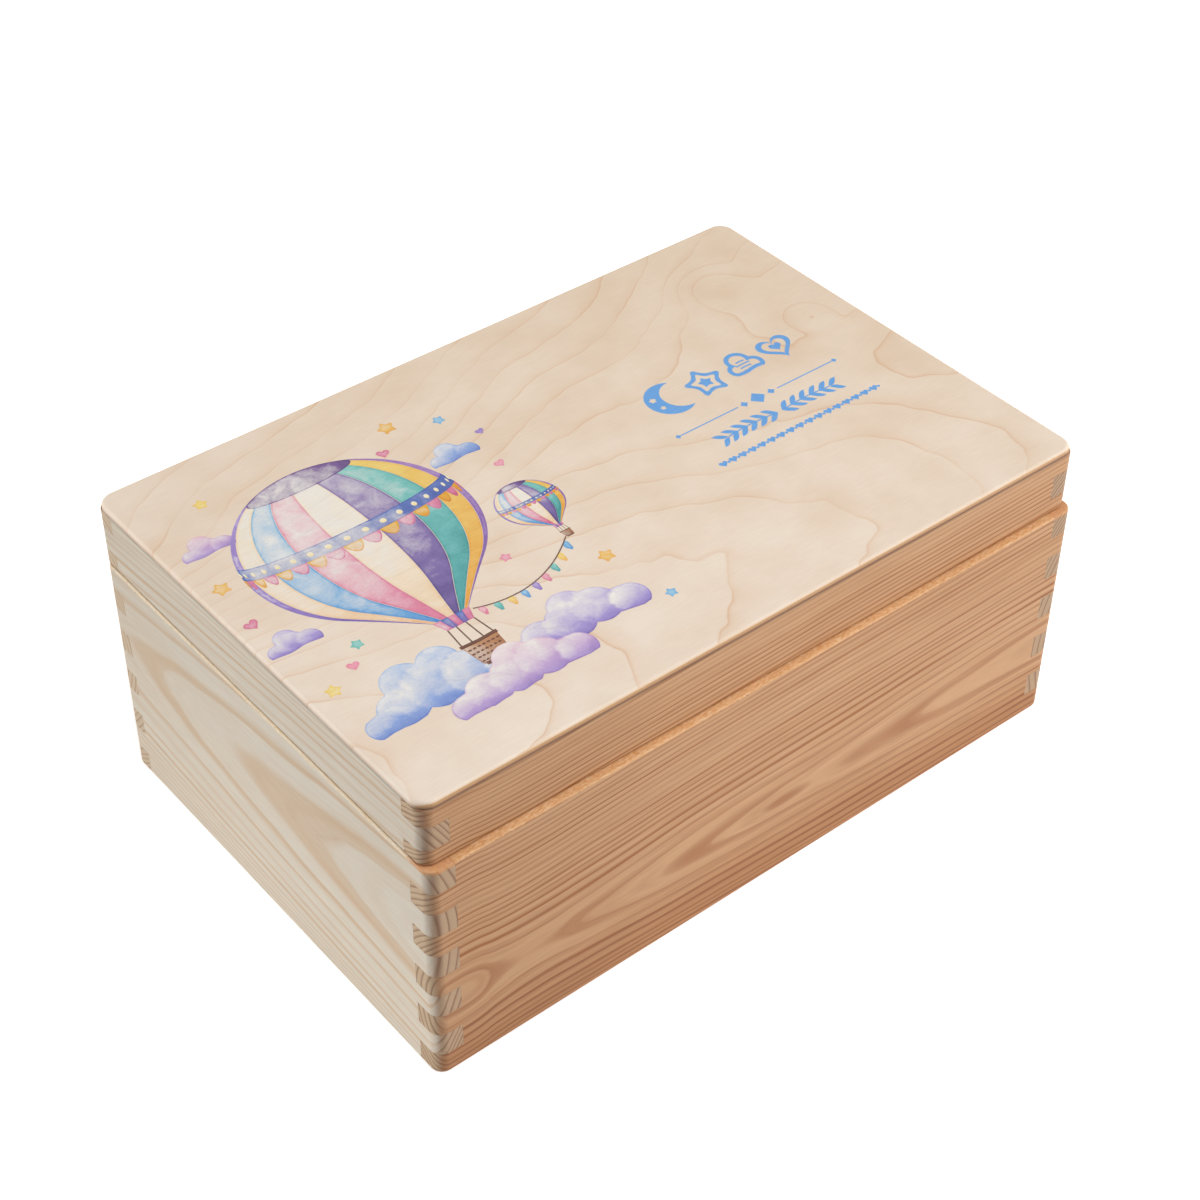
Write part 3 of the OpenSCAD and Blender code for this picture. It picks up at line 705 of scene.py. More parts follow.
# rounds a polygon's corners by cutting them off a few times
def soften(outline, times=2):
    points = np.array(outline, float)
    for _ in range(times):
        after = np.roll(points, -1, axis=0)
        points = np.stack([points * 0.75 + after * 0.25, points * 0.25 + after * 0.75], 1).reshape(-1, 2)
    return points


def starOutline(x, y, reach, turn=0.0, inner=0.48, arms=5):
    corners = []
    for i in range(2 * arms):
        angle = math.radians(90 + turn) + math.pi * i / arms
        far = reach * (1 if i % 2 == 0 else inner)
        corners.append((x + far * math.cos(angle), y + far * math.sin(angle)))
    return soften(corners, 3)


def heartOutline(x, y, wide, turn=0.0, count=48):
    points = []
    tilt = math.radians(turn)
    for i in range(count):
        t = 2 * math.pi * i / count
        hx = 16 * math.sin(t) ** 3 * wide / 32
        hy = (13 * math.cos(t) - 5 * math.cos(2 * t) - 2 * math.cos(3 * t) - math.cos(4 * t)) * wide / 32
        points.append((x + hx * math.cos(tilt) - hy * math.sin(tilt),
                       y + hx * math.sin(tilt) + hy * math.cos(tilt)))
    return points


def discOutline(x, y, wide, count=28):
    turns = [2 * math.pi * i / count for i in range(count)]
    return [(x + wide / 2 * math.cos(turn), y + wide / 2 * math.sin(turn)) for turn in turns]


def cloudOutline(x, y, puffs, base, count=150):
    # the far side of a few round puffs, seen from the cloud's middle, with a flat foot
    points = []
    for i in range(count):
        angle = 2 * math.pi * i / count
        dx, dy = math.cos(angle), math.sin(angle)
        far = 0.5
        for puffX, puffY, reach in puffs:
            along = puffX * dx + puffY * dy
            gap = reach**2 - (puffX**2 + puffY**2 - along**2)
            if gap > 0:
                far = max(far, along + math.sqrt(gap))
        py = max(far * dy, base + 0.35 * math.sin(far * dx * 0.5))
        points.append((x + far * dx, y + py))
    return points


def addCloud(sheet, layer, x, y, puffs, base, tint):
    # each puff is white above and blue-grey below
    def shade(px, py):
        lit = 0.0
        for puffX, puffY, reach in puffs:
            dx, dy = (px - x - puffX) / reach, (py - y - puffY) / reach
            if dx * dx + dy * dy < 1.15:
                lit = max(lit, 0.5 + 0.42 * dy - 0.22 * dx)
        foot = max(0.0, 1 - (py - y - base) / 7)
        return max(0.0, 0.85 - lit + 0.35 * foot)

    addInk(sheet, cloudOutline(x, y, puffs, base), layer, cloudTints[tint], shade)


# heights and widths in mm of the large balloon, from its middle or down from its mouth
balloonLook = {
    "reach": 45.0, "mouth": 7.0, "coneAngle": -48, "gores": 9, "seamGap": 0.12, "sag": 6.5,
    "bandTop": 12, "bandFoot": 5, "laceTop": 5.3, "laceHigh": 5.5, "dotHigh": 8.5, "dotWide": 2.6,
    "crownFoot": 40.5, "skirtPanels": 5, "skirtTop": 0.5, "skirtFoot": 5.2,
    "basketTop": 15, "basketFoot": 26.5, "basketHalf": (7.2, 5.9, 4.8),
    "large": {"x": -88.0, "y": 24.0, "size": 1.0},
    "small": {"x": -29.5, "y": 2.0, "size": 0.29},
    "tints": [("#B7A0D8", "#9C86C9"), ("#FBEBCB", "#F6D6B4"), ("#8EC5E6", "#6FA9DC"),
              ("#F2A7B9", "#E48CA8"), ("#FDF3E0", "#F7DFC0"), ("#9A86B8", "#7E6AA6"),
              ("#8CCFC6", "#63B3B4"), ("#F8DD86", "#F3C46E"), ("#C9A9D6", "#A98CC6")],
    "band": ("#6F86C4", "#5A6FB4"), "rose": ("#E99AB4", "#D97FA2"), "gold": ("#F0BE4A", "#E8A84A"),
    "dot": ("#FFF6DA", "#FBE3A6"), "crown": ("#8A6AA0", "#74558E"), "skirt": ("#5E7FC0", "#8C74B6"),
    "basket": ("#C9966C", "#A87352"), "basketDark": "#80543F",
}


def balloonProfile(size):
    # half width against height: a round top that runs into a cone down to the mouth
    reach, mouth = balloonLook["reach"] * size, balloonLook["mouth"] * size
    turns = np.radians(np.linspace(90, balloonLook["coneAngle"], 46))
    points = [(reach * math.cos(turn), reach * math.sin(turn)) for turn in turns]
    endWide, endHigh = points[-1]
    slope = math.radians(balloonLook["coneAngle"] - 90)
    run = (endWide - mouth) / -math.cos(slope)
    for share in np.linspace(0, 1, 16)[1:]:
        bend = 1.2 * size * math.sin(math.pi * share)
        points.append((endWide + math.cos(slope) * run * share - bend * 0.3,
                       endHigh + math.sin(slope) * run * share))
    return np.array(points)


def addBalloon(sheet, spot, baseLayer):
    cx, cy, size = spot["x"], spot["y"], spot["size"]
    reach = balloonLook["reach"] * size
    profile = balloonProfile(size)
    gores = balloonLook["gores"]

    def halfWidth(y):
        return float(np.interp(-(y - cy), -profile[:, 1], profile[:, 0]))

    def shade(x, y):
        wide = max(halfWidth(y), 0.5)
        nx = max(-1, min(1, (x - cx) / wide))
        ny = max(-0.9, min(1, (y - cy) / reach))
        nz = math.sqrt(max(0.0, 1 - min(1, nx * nx * (1 - 0.5 * ny * ny) + 0.6 * ny * ny)))
        lit = -0.42 * nx + 0.35 * ny + 0.72 * nz
        seam = abs(((math.asin(nx) / math.pi + 0.5) * gores) % 1 - 0.5) * 2
        return max(0.0, min(1.0, 0.92 - 0.95 * lit + 0.22 * seam**4))

    def latitude(height, turn):
        # a ring round the balloon seen from a little below sags in the middle
        y = cy + height * size - balloonLook["sag"] * size * math.cos(turn)
        return cx + halfWidth(y) * math.sin(turn), y

    gap = balloonLook["seamGap"] * size
    for k in range(gores):
        left = math.sin(math.pi * (k / gores - 0.5))
        right = math.sin(math.pi * ((k + 1) / gores - 0.5))
        side = [(cx + w * left + gap, cy + y) for w, y in profile]
        other = [(cx + w * right - gap, cy + y) for w, y in profile[1:][::-1]]
        addInk(sheet, side + other, baseLayer, balloonLook["tints"][k], shade)

    # a band with scallops below it and dots along it
    turns = np.linspace(-math.pi / 2, math.pi / 2, 61)
    band = [latitude(balloonLook["bandTop"], turn) for turn in turns]
    band += [latitude(balloonLook["bandFoot"], turn) for turn in turns[::-1]]
    addInk(sheet, band, baseLayer + 1, balloonLook["band"], shade)
    lace, laceTop, laceHigh = 2 * gores, balloonLook["laceTop"], balloonLook["laceHigh"]
    steps = np.linspace(0, 1, 13)
    for k in range(lace):
        a = -math.pi / 2 + math.pi * k / lace
        upper = [latitude(laceTop, a + math.pi / lace * s) for s in steps]
        lower = [latitude(laceTop - laceHigh * math.sin(math.pi * s) ** 0.7, a + math.pi / lace * s)
                 for s in steps[::-1]]
        addInk(sheet, upper + lower[1:-1], baseLayer + 2, balloonLook["rose" if k % 2 else "gold"], shade)
    for k in range(lace):
        turn = -math.pi / 2 + math.pi * (k + 0.5) / lace
        x, y = latitude(balloonLook["dotHigh"], turn)
        dot = discOutline(0.0, 0.0, balloonLook["dotWide"] * size, 16)
        dot = [(x + dx * max(0.25, math.cos(turn)), y + dy) for dx, dy in dot]
        addInk(sheet, dot, baseLayer + 2, balloonLook["dot"], 0.25)
    top = [(cx + w, cy + y) for w, y in profile[:12]]
    crown = [(2 * cx - x, y) for x, y in top[::-1]] + top[1:]
    foot = [latitude(balloonLook["crownFoot"], turn) for turn in turns[::-1]]
    crown += [(x, y) for x, y in foot if abs(x - cx) < abs(top[-1][0] - cx) * 0.98]
    addInk(sheet, crown, baseLayer + 1, balloonLook["crown"], shade)

    # skirt, ropes and basket
    mouthWide, mouthHigh = profile[-1]
    foot = cy + mouthHigh
    panels = balloonLook["skirtPanels"]
    high, low = foot + balloonLook["skirtTop"] * size, foot - balloonLook["skirtFoot"] * size
    for k in range(panels):
        a, b = -1 + 2 * k / panels, -1 + 2 * (k + 1) / panels
        quad = [(cx + mouthWide * a * 1.08, high), (cx + mouthWide * b * 1.08, high),
                (cx + mouthWide * b * 0.8, low), (cx + mouthWide * a * 0.8, low)]
        addInk(sheet, quad, baseLayer + 1, balloonLook["skirt" if k % 2 else "rose"], 0.55 + 0.25 * a)
    basketTop, basketFoot = foot - balloonLook["basketTop"] * size, foot - balloonLook["basketFoot"] * size
    for a in (-1, -0.36, 0.36, 1):
        rope = [(cx + mouthWide * 0.78 * a, foot - 5.0 * size), (cx + 6.6 * size * a, basketTop)]
        addStroke(sheet, rope, 0.55 * size, baseLayer, inkLook["string"], 0.9)
    heights = (basketTop, basketFoot + size, basketFoot)
    half = [(w * size, y) for w, y in zip(balloonLook["basketHalf"], heights)]
    basket = [(cx - half[0][0], basketTop)] + [(cx + x, y) for x, y in half]
    basket += [(cx - x, y) for x, y in half[:0:-1]]
    addInk(sheet, basket, baseLayer + 1, balloonLook["basket"], lambda x, y: 0.55 + 0.05 * (x - cx) / size)
    for row in range(4):
        y = basketFoot + (1.6 + 2.3 * row) * size
        wide = (5.4 + 0.42 * row) * size
        for k in range(7):
            a = cx - wide + 2 * wide * (k + (0.25 if row % 2 else 0.0)) / 7
            b = min(a + 2 * wide / 7 * 0.62, cx + wide)
            addStroke(sheet, [(a, y), ((a + b) / 2, y + 0.35 * size), (b, y)], 0.75 * size, baseLayer + 2,
                      balloonLook["basketDark"], 0.75)
    for y, wide in ((basketTop, 7.6), (basketFoot + 0.2 * size, 4.8)):
        addStroke(sheet, [(cx - wide * size, y), (cx, y - 0.4 * size), (cx + wide * size, y)], 1.5 * size,
                  baseLayer + 3, balloonLook["basketDark"], 0.8)


# a puff is its place and reach, and a cloud its layer, place, puffs, foot and tint
bigCloud = [(0, 0, 11), (-15, -3, 9), (14, -2, 10), (-7, 7, 9), (7, 8, 8), (-25, -6, 6), (25, -6, 7)]
longCloud = [(0, 0, 9), (-12, -1, 8), (12, 1, 9), (-22, -4, 6), (24, -3, 7), (4, 6, 8)]
smallCloud = [(0, 0, 5.5), (-6.5, -1.6, 4), (6, -1.4, 4.4), (-1, 3, 4.6)]
cloudTints = {"cool": ("#A9C4EA", "#8FA6DC"), "mauve": ("#C3B4E2", "#A897D3"), "rose": ("#EDBFD0", "#B9A3D8")}
backClouds = [(0, -137, -8, smallCloud, -3.6, "mauve"), (0, -34, 42, smallCloud, -3.6, "cool"),
              (0, -133, 52, smallCloud, -3.6, "rose")]
frontClouds = [(0, -112, -54, bigCloud, -10.5, "cool"), (5, -58, -57, longCloud, -9.0, "mauve"),
               (6, -88, -66, longCloud, -8.0, "rose")]

printed = newSheet()
for cloud in backClouds:
    addCloud(printed, *cloud)
addBalloon(printed, balloonLook["large"], 1)
addBalloon(printed, balloonLook["small"], 1)
for cloud in frontClouds:
    addCloud(printed, *cloud)

# a string of pennants hangs from the large basket to the small one
stringLook = {
    "from": (-80.0, -31.5), "to": (-31.5, -21.0), "sag": 15.0, "thick": 0.5, "flags": 9, "high": 6.0,
    "tints": [("#F2A7B9", "#E48CA8"), ("#8CCFC6", "#63B3B4"), ("#F8DD86", "#F3C46E"),
              ("#8EC5E6", "#6FA9DC"), ("#B7A0D8", "#9C86C9")],
}


def stringPoint(share):
    (ax, ay), (bx, by) = stringLook["from"], stringLook["to"]
    return ax + (bx - ax) * share, ay + (by - ay) * share - stringLook["sag"] * 4 * share * (1 - share) / 2


string = [stringPoint(share) for share in np.linspace(0, 1, 40)]
addStroke(printed, string, stringLook["thick"], 4, inkLook["string"], 0.9)
for k in range(stringLook["flags"]):
    a, b = (k + 0.12) / stringLook["flags"], (k + 0.82) / stringLook["flags"]
    (ax, ay), (bx, by) = stringPoint(a), stringPoint(b)
    tip = ((ax + bx) / 2 + (by - ay) * 0.35, (ay + by) / 2 - stringLook["high"])
    tints = stringLook["tints"][k % len(stringLook["tints"])]
    addInk(printed, soften([(ax, ay), tip, (bx, by)], 1), 3, tints, 0.5, 1.2)

# stars and hearts round the balloons: place, size in mm, turn and tint
stars = [(-141, 30, 4.2, 12, "#F3C46E"), (-122, 74, 3.4, -9, "#F8DD86"), (-44, 70, 4.4, 8, "#F3C46E"),
         (-26, 62, 3.0, 20, "#8EC5E6"), (-140, -36, 3.6, -14, "#F8DD86"), (-27, -38, 4.0, 10, "#F3C46E"),
         (-55, -17, 2.8, 0, "#F2A7B9"), (-121, -22, 3.0, 15, "#8CCFC6"), (-22, -67, 2.8, 5, "#8EC5E6")]
hearts = [(-143, 8, 5.6, 14, "#E48CA8"), (-54, 58, 5.0, -16, "#E48CA8"), (-128, -30, 4.6, -10, "#F2A7B9"),
          (-24, 27, 4.4, 12, "#F2A7B9"), (-18, 47, 3.6, 8, "#B7A0D8")]
for drawn, spots, shade in ((starOutline, stars, 0.55), (heartOutline, hearts, 0.6)):
    for x, y, wide, turn, tint in spots:
        addInk(printed, drawn(x, y, wide, turn), 4, tint, shade, inkLook["fine"])
sheetPiece(printed, "lid_print_balloons", watercolour)
print("stage: balloon print")


# The last nodes of both trees below: the motif goes on the points, is made real and dressed.
def endTree(add, entry, points, turn, size):
    motif = add("GeometryNodeObjectInfo", {"Object": entry["Motif"]}).outputs["Geometry"]
    placed = add("GeometryNodeInstanceOnPoints", {"Points": points, "Instance": motif, "Rotation": turn,
                                                  "Scale": size})
    real = add("GeometryNodeRealizeInstances", [placed])
    dressed = add("GeometryNodeSetMaterial", {0: real, "Material": entry["Finish"]})
    add("NodeGroupOutput", [dressed])


# sets a motif along a path
def pathTree():
    tree, add, entry = newGroup("motif along a path", "GeometryNodeTree", {
        "Geometry": "Geometry", "Motif": "Object", "Count": "Int", "Size": "Float",
        "Finish": "Material"}, {"Geometry": "Geometry"})
    curve = add("GeometryNodeMeshToCurve", {"Mesh": entry["Geometry"]})
    spaced = add("GeometryNodeResampleCurve", {"Curve": curve, "Count": entry["Count"]})
    tangent = add("GeometryNodeInputTangent")
    turned = add("FunctionNodeAlignRotationToVector", {"Vector": tangent}, axis="X")
    endTree(add, entry, spaced, turned, entry["Size"])
    return tree


# sprinkles a motif over a surface, each one turned and sized at random
def sprinkleTree():
    tree, add, entry = newGroup("motif sprinkled on a surface", "GeometryNodeTree", {
        "Geometry": "Geometry", "Motif": "Object", "Density": "Float", "Least size": "Float",
        "Most size": "Float", "Least turn": "Vector", "Most turn": "Vector", "Seed": "Int",
        "Finish": "Material"}, {"Geometry": "Geometry"})
    seed = entry["Seed"]
    points = add("GeometryNodeDistributePointsOnFaces", {"Mesh": entry["Geometry"],
                                                         "Density": entry["Density"], "Seed": seed})
    size = add("FunctionNodeRandomValue FLOAT", {2: entry["Least size"], 3: entry["Most size"], "Seed": seed})
    turn = add("FunctionNodeRandomValue FLOAT_VECTOR", {0: entry["Least turn"], 1: entry["Most turn"],
                                                        "Seed": seed})
    endTree(add, entry, points.outputs["Points"], turn, size)
    return tree


# runs a tree on a carrier mesh, keeps the result as a plain mesh and removes the helpers
def grow(name, carrier, motif, tree, settings, body):
    holder, seed = newObject(name, carrier), newObject(name + "-motif", motif)
    modifier = holder.modifiers.new(name, "NODES")
    modifier.node_group = tree
    settings = dict(settings, Motif=seed)
    for item in tree.interface.items_tree:
        if item.in_out == "INPUT" and item.name in settings:
            modifier[item.identifier] = settings[item.name]
    makeReal(holder)
    bpy.data.objects.remove(seed)
    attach(holder, body)


alongPath, sprinkled = pathTree(), sprinkleTree()

# One row of four bold icons, a thin rule with lozenges, a sprig of leaves and a row of small
# hearts and dots, all in blue. Lengths are in mm.
bluePrintLook = {
    "icons": {"y": 18.8, "moon": 50.5, "star": 68.0, "cloud": 87.0, "heart": 105.0, "stroke": 1.9},
    "rule": {"y": -1.6, "from": 38.5, "to": 115.0, "gap": 10.0, "stroke": 0.55},
    "sprig": {"y": -13.2, "from": 52.0, "to": 103.0, "pairs": 10, "leaf": 6.4, "stem": 0.6},
    "beads": {"y": -24.4, "from": 39.5, "to": 115.5, "count": 17, "heart": 3.6, "dot": 1.3},
}


def blueInkMaterial(name, code):
    # flat blue print ink: satin, a little uneven, with the veneer's pores showing as fine lines
    material, add, inMm = newMaterial(name)
    wood = add("Group", [inMm], node_tree=birchFigure).outputs
    patch = add("TexNoise", {"Vector": inMm, "Scale": 1 / 3.0, "Detail": 3.0})
    patchTone = add("MapRange", [patch, 0.3, 0.7, 0.95, 1.04], clamp=False)
    ink = add("VectorMath SCALE", {0: linear(code)[:3], "Scale": patchTone})
    bare = add("MapRange", [wood["Pores"], 0.6, 0.8, 0.05, 0.4])
    colour = add("Mix RGBA", {0: bare, 6: ink, 7: wood["Color"]})
    gloss = add("MapRange", [patch, 0.0, 1.0, 0.42, 0.55])
    endMaterial(add, colour, gloss, wood["Pores"], 0.3, 0.03)
    return material


blueInk = blueInkMaterial("blue print ink", inkLook["blue"])
blue = newSheet()


def addBlue(outline, cell=1.2, holes=(), sheet=blue, layer=1):
    addInk(sheet, outline, layer, inkLook["blue"], 0.6, cell, holes)


def arc(x, y, reach, start, end, count):
    turns = np.radians(np.linspace(start, end, count))
    return [(x + reach * math.cos(turn), y + reach * math.sin(turn)) for turn in turns]


def cloudPuffs(more):
    return [(0, 0, 4.6 + more), (-3.9, -1.2, 3.7 + more), (3.8, -1.1, 4.0 + more), (-0.3, 3.6, 4.7 + more)]


icons = bluePrintLook["icons"]
stroke, iconY = icons["stroke"], icons["y"]
moonX, starX, cloudX, heartX = icons["moon"], icons["star"], icons["cloud"], icons["heart"]
crescent = arc(moonX, iconY, 10.0, 55, 305, 60) + arc(moonX + 5.4, iconY, 8.2, 268, 92, 44)
addBlue(soften(crescent, 2), holes=[starOutline(moonX - 6.2, iconY + 2.6, 1.9),
                                    starOutline(moonX - 5.8, iconY - 3.2, 1.5)])
starWide, starHole, starCore = [starOutline(starX, iconY - 0.6, reach, 0, 0.5)
                                for reach in (10.2, 10.2 - 1.7 * stroke, 3.6)]
addBlue(starWide, holes=[starHole])
addBlue(starCore)
addBlue(cloudOutline(cloudX, iconY - 1.2, cloudPuffs(0.6), -4.6),
        holes=[cloudOutline(cloudX, iconY - 1.2, cloudPuffs(0.6 - stroke), -4.6 + stroke)])
heartHole = heartOutline(heartX, iconY + 0.5, 15.6 - 2.5 * stroke)
addBlue(heartOutline(heartX, iconY + 0.4, 15.6), holes=[heartHole])
addBlue(heartOutline(heartX, iconY + 0.5, 5.4))
for row, wide in enumerate((2.6, 3.4, 2.0)):
    y = iconY - 2.4 + 1.9 * row
    addStroke(blue, [(cloudX - wide, y), (cloudX, y + 0.2), (cloudX + wide, y)], 0.75, 1, inkLook["blue"])
rule = bluePrintLook["rule"]
middleX, y = (rule["from"] + rule["to"]) / 2, rule["y"]
for side, end in ((-1, rule["from"]), (1, rule["to"])):
    start = middleX + side * rule["gap"]
    addStroke(blue, [(start, y), ((start + end) / 2, y), (end, y)], rule["stroke"], 1, inkLook["blue"])
    for x, reach in ((end + side * 1.2, 1.2), (start - side * 3.2, 1.7)):
        addBlue(discOutline(x, y, 2 * reach, 4), inkLook["cell"])
addBlue(discOutline(middleX, y, 7.0, 4), inkLook["cell"])
sheetPiece(blue, "lid_print_icons", blueInk)

# leaf pairs run outwards from the middle of the sprig, and hearts with dots fill the last row
sprig, beads = bluePrintLook["sprig"], bluePrintLook["beads"]
leafPair, bead, leaf = newSheet(), newSheet(), sprig["leaf"]
for side in (-1, 1):
    outline = []
    for steps, bow in ((np.linspace(0, 1, 9), 0.2), (np.linspace(1, 0, 9)[1:-1], -0.24)):
        outline += [(leaf * t * 0.86, side * (0.25 + leaf * (0.55 * t + bow * math.sin(math.pi * t))))
                    for t in steps]
    addBlue(outline, 2.0, sheet=leafPair, layer=0)
pitch = (beads["to"] - beads["from"]) / (beads["count"] - 1)
addBlue(heartOutline(0, 0, beads["heart"]), 2.0, sheet=bead, layer=0)
addBlue(discOutline(pitch / 2, -0.2, beads["dot"], 16), 2.0, sheet=bead, layer=0)


# grows a blue motif along a row of points, given in mm
def growRow(name, points, sheet, motifName, count):
    motif = sheetMesh(sheet, motifName, blueInk)
    for vert in motif.vertices:
        vert.co.z -= inkLook["bed"] * mm
    row = newMesh(name + "_row", [(x * mm, y * mm, inkLook["bed"] * mm) for x, y in points],
                  [(i, i + 1) for i in range(len(points) - 1)])
    grow(name, row, motif, alongPath, {"Count": count, "Size": 1.0, "Finish": blueInk}, "lid")


sprigMiddle = (sprig["from"] + sprig["to"]) / 2
for side, end in (("left", sprig["from"]), ("right", sprig["to"])):
    path = [(sprigMiddle + (end - sprigMiddle) * (0.05 + 0.95 * t), sprig["y"] + 0.8 * math.sin(3 * t))
            for t in np.linspace(0, 1, 20)]
    stem = newSheet()
    addStroke(stem, path, sprig["stem"], 1, inkLook["blue"])
    sheetPiece(stem, "lid_print_stem_" + side, blueInk)
    growRow("lid_print_leaves_" + side, path, leafPair, "leaves", sprig["pairs"] // 2 + 1)
path = [(beads["from"] + (beads["to"] - beads["from"]) * t, beads["y"]) for t in np.linspace(0, 1, 60)]
growRow("lid_print_hearts", path, bead, "bead", beads["count"])
print("stage: blue print")

# The saw leaves torn fibres on the rim: "ledges" are the bare strips of it, as x and y from and to.
fibreLook = {"long": 0.9, "thick": 0.07, "perSquareMm": 1.1, "rimHeight": 100.5, "sizes": (0.35, 1.0),
             "turns": ((0, -0.35, -0.5), (0, 0.0, 0.5)), "seed": 5,
             "ledges": [(-142, 142, -99.5, -97.5), (-149.9, -149.6, -90, 90), (148.7, 148.95, -90, 90)]}


def fibreMaterial(name):
    # torn pine fibres: pale straw and matt, slightly see-through in life, so drawn lighter as painted light
    # for the light that shines through them
    material, add, inMm = newMaterial(name)
    tone = add("TexNoise", {"Vector": inMm, "Scale": 0.9})
    colour = setRamp(add("ValToRGB", [tone]), [(0.3, "#E8B67E"), (0.7, "#FBE3BC")])
    shader = add("BsdfPrincipled", {"Base Color": colour, "Roughness": 0.8})
    add("OutputMaterial", [shader])
    return material


# a fibre lies on the rim with a thick foot, and rises and thins towards its tip
length, thick = fibreLook["long"] * mm, fibreLook["thick"] * mm
fibre = turnOutward(newMesh("fibre", [
    (0, -thick, 0), (0, thick, 0), (0, 0, 1.4 * thick), (length * 0.55, 0, 1.2 * thick),
    (length * 0.55, thick * 0.5, 0.4 * thick), (length * 0.55, -thick * 0.5, 0.4 * thick),
    (length, 0, 2.2 * thick)],
    faces=[(0, 1, 2), (0, 5, 4, 1), (1, 4, 3, 2), (2, 3, 5, 0), (5, 3, 6), (3, 4, 6), (4, 5, 6)]))
corners, quads = [], []
for x0, x1, y0, y1 in fibreLook["ledges"]:
    quads.append(tuple(range(len(corners), len(corners) + 4)))
    for x, y in ((x0, y0), (x1, y0), (x1, y1), (x0, y1)):
        corners.append((x * mm, y * mm, fibreLook["rimHeight"] * mm))
(leastSize, mostSize), (leastTurn, mostTurn) = fibreLook["sizes"], fibreLook["turns"]
grow("rim_torn_fibres", newMesh("rim", corners, faces=quads), fibre, sprinkled,
     {"Density": fibreLook["perSquareMm"] * 1e6, "Least size": leastSize, "Most size": mostSize,
      "Least turn": leastTurn, "Most turn": mostTurn, "Seed": fibreLook["seed"],
      "Finish": fibreMaterial("torn pine fibre")}, "box")
print("stage: torn fibres")

metalLook = {"leafEdge": 0.12, "smallEdge": 0.05, "sharp": 40}  # mm, mm and degrees


def metalMaterial(name, code, worn, rough, grainAxis):
    # plain metal: rolled or drawn in one direction, with soft smudges and duller patches
    material, add, inMm = newMaterial(name)
    # rolling lines 0.15 mm apart and 6 mm long
    stretch = tuple(1 / 6 if axis == grainAxis else 1 / 0.15 for axis in "XYZ")
    rolledPlace = add("VectorMath MULTIPLY", [inMm, stretch])
    rolled = add("TexNoise", {"Vector": rolledPlace, "Scale": 1.0, "Detail": 2.0})
    smudge = add("TexNoise", {"Vector": inMm, "Scale": 1 / 4, "Detail": 3.0})
    dull = add("MapRange", [smudge, 0.45, 0.75, 0.0, 0.7])
    colour = add("Mix RGBA", {0: dull, 6: code, 7: worn})
    gloss = add("MapRange", [smudge, 0.3, 0.7, rough - 0.08, rough + 0.14])
    endMaterial(add, colour, gloss, rolled, 0.25, 0.02, Metallic=1.0)
    return material


hingeBrass = metalMaterial("rolled brass, hinge leaves", "#D9B66A", "#A98443", 0.3, "X")
screwBrass = metalMaterial("turned brass, screws", "#D2AC5F", "#9C7A3E", 0.34, "Z")
drawnSteel = metalMaterial("drawn bright steel", "#C2C4C7", "#8F9296", 0.32, "Z")


def dressMetal(nodeName, body, material, slot, metal, edge):
    shape = openNode(nodeName)
    bmesh.ops.dissolve_limit(shape, angle_limit=math.radians(0.5), verts=shape.verts, edges=shape.edges)
    piece = closeShape(shape, nodeName + metal, material, "BEVEL", width=edge * mm, segments=2,
                       limit_method="ANGLE", angle_limit=math.radians(metalLook["sharp"]),
                       harden_normals=True)
    placePiece(piece, nodeName, slot, body)


leafFinish = (hingeBrass, "hinge_brass", "_brass", metalLook["leafEdge"])
screwFinish = (screwBrass, "screw_brass", "_brass", metalLook["smallEdge"])
steelFinish = (drawnSteel, "bright_steel", "_steel", metalLook["smallEdge"])
for side in ("left", "right"):
    for part, body in (("body", "box"), ("lid", "lid")):
        dressMetal(f"{side}_hinge_{part}_leaf", body, *leafFinish)
        dressMetal(f"{side}_hinge_{part}_screws", body, *screwFinish)
    dressMetal(f"{side}_hinge_pin", "box", *steelFinish)
dressMetal("bottom_brads", "box", *steelFinish)
print("stage: metal")

# degrees and mm, as solved from the box's outlines
cameraLook = {"azimuth": -39.615, "elevation": 40.834, "roll": 0.621, "distance": 896.259,
              "shiftRight": 1.413, "shiftUp": 2.047, "target": (0, 0, 65), "lens": 70.737, "sensor": 36}


def placeCamera(look):
    azimuth, elevation, roll = [math.radians(look[key]) for key in ("azimuth", "elevation", "roll")]
    back = Vector((math.sin(azimuth) * math.cos(elevation), -math.cos(azimuth) * math.cos(elevation),
                   math.sin(elevation)))
    right = (-back).cross(Vector((0, 0, 1))).normalized()
    up = right.cross(-back)
    right, up = (right * math.cos(roll) + up * math.sin(roll), up * math.cos(roll) - right * math.sin(roll))
    place = (Vector(look["target"]) + back * look["distance"] + right * look["shiftRight"]
             + up * look["shiftUp"])
    data = bpy.data.cameras.new("camera")
    data.lens = look["lens"]
    data.sensor_width = look["sensor"]
    data.clip_end = 20
    camera = newObject("camera", data)
    camera.rotation_mode = "QUATERNION"
    camera.location = place * mm
    camera.rotation_quaternion = Matrix((right, up, back)).transposed().to_quaternion()
    bpy.context.scene.camera = camera


placeCamera(cameraLook)

# The floor glows for the camera alone, more so far away ("glow": from and to in mm, and how
# much), and the world is white to it but lights the box softly. The floor's sizes are in metres.
stageLook = {"halfFloor": 6, "below": 0.0001, "matt": (0.9, 0.9, 0.9, 1), "glow": (400, 2000, 0.6, 1.0),
             "light": 0.2, "seen": 1.0, "aim": (0, 0, 0.06)}


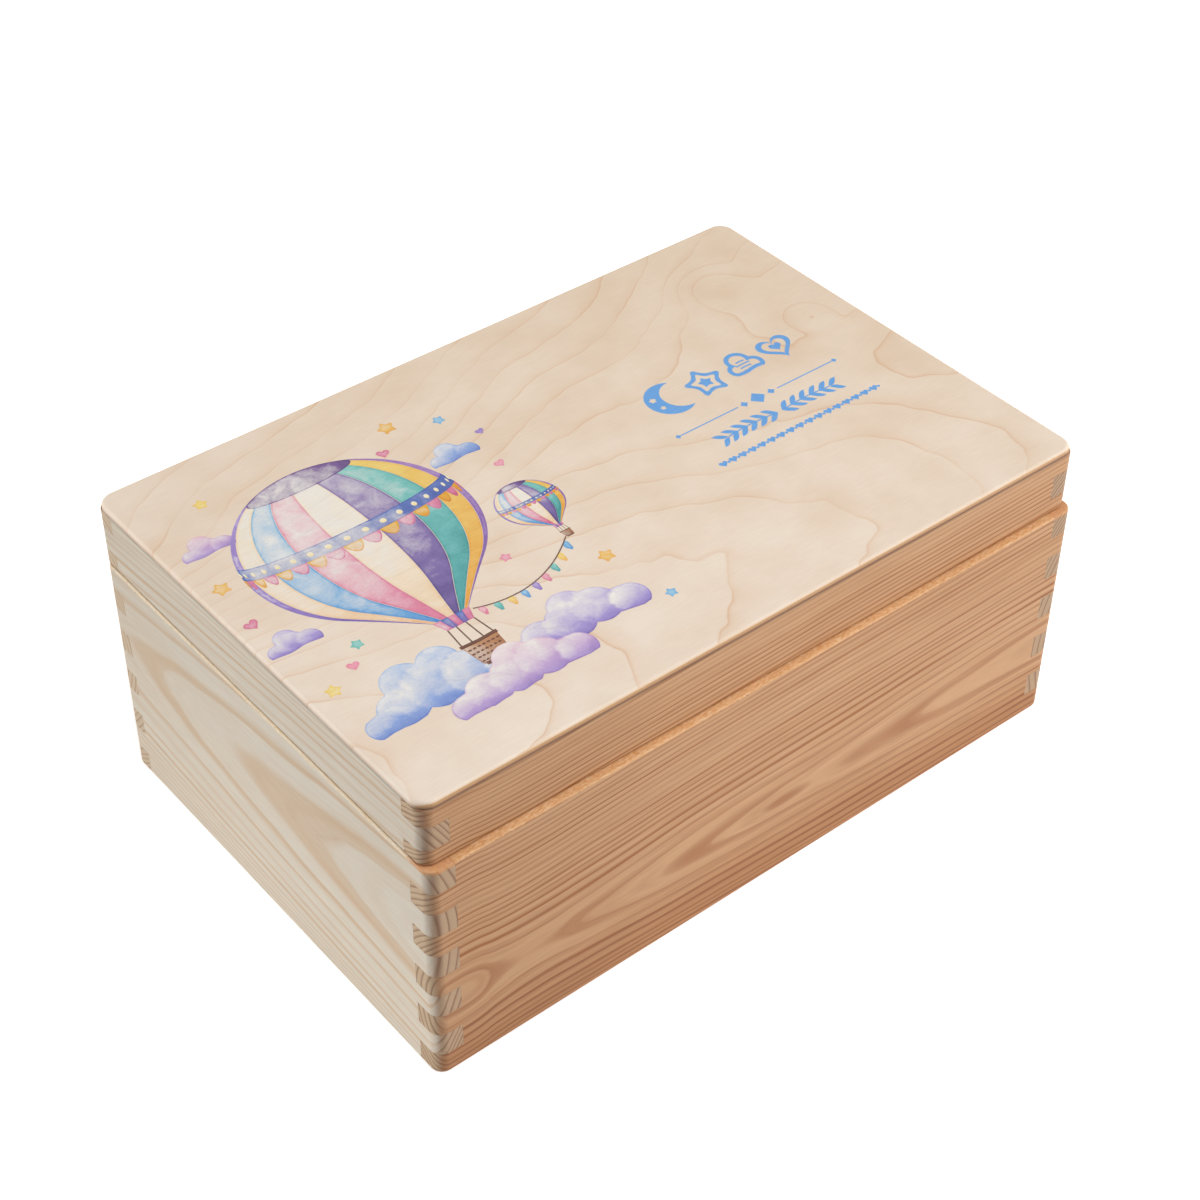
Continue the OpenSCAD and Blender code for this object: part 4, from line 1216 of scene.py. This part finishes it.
# 1 for what the camera sees, straight, mirrored or through something, and 0 for what only lights
def addSeen(add):
    paths = add("LightPath").outputs
    seen = add("Math MAXIMUM", [paths["Is Camera Ray"], paths["Is Glossy Ray"]])
    return add("Math MAXIMUM", [seen, paths["Is Transmission Ray"]])


half = stageLook["halfFloor"]
floorMesh = newMesh("floor", [(-half, -half, 0), (half, -half, 0), (half, half, 0), (-half, half, 0)],
                    faces=[(0, 1, 2, 3)])
floor = newObject("floor", floorMesh)
floor.location.z = -stageLook["below"]
floorWhite, add, inMm = newMaterial("white studio floor")
matt = add("BsdfDiffuse", {"Color": stageLook["matt"]})
farAway = add("VectorMath LENGTH", [inMm])
glowLevel = add("MapRange", [farAway, *stageLook["glow"]])
glow = add("Emission", {"Color": (1, 1, 1, 1), "Strength": glowLevel})
both = add("AddShader", [matt, glow])
choice = add("MixShader", [addSeen(add), matt, both])
add("OutputMaterial", [choice])
floorMesh.materials.append(floorWhite)

world = bpy.data.worlds.new("studio")
bpy.context.scene.world = world
world.use_nodes = True
world.node_tree.nodes.clear()
add = partial(addNode, world.node_tree)
dim, white = [add("Background", {"Color": (1, 1, 1, 1), "Strength": stageLook[key]})
              for key in ("light", "seen")]
worldChoice = add("MixShader", [addSeen(add), dim, white])
add("OutputWorld", [worldChoice])

# places and sizes in metres, every lamp aimed at the box
lampLook = {
    "above": {"place": (-0.05, -0.2, 1.0), "size": 0.7, "watts": 4.8},
    "left": {"place": (-1.6, 1.4, 0.4), "size": 1.0, "watts": 24.0},
    "right": {"place": (1.6, -1.1, 0.5), "size": 1.0, "watts": 26.0},
}
for lampName, look in lampLook.items():
    data = bpy.data.lights.new(lampName, "AREA")
    data.shape = "SQUARE"
    data.size = look["size"]
    data.energy = look["watts"]
    lamp = newObject(lampName, data)
    lamp.location = look["place"]
    lamp.rotation_mode = "QUATERNION"
    lamp.rotation_quaternion = (Vector(stageLook["aim"]) - lamp.location).to_track_quat("-Z", "Y")

bpy.context.scene.view_settings.view_transform = "Standard"

print("stage: done")
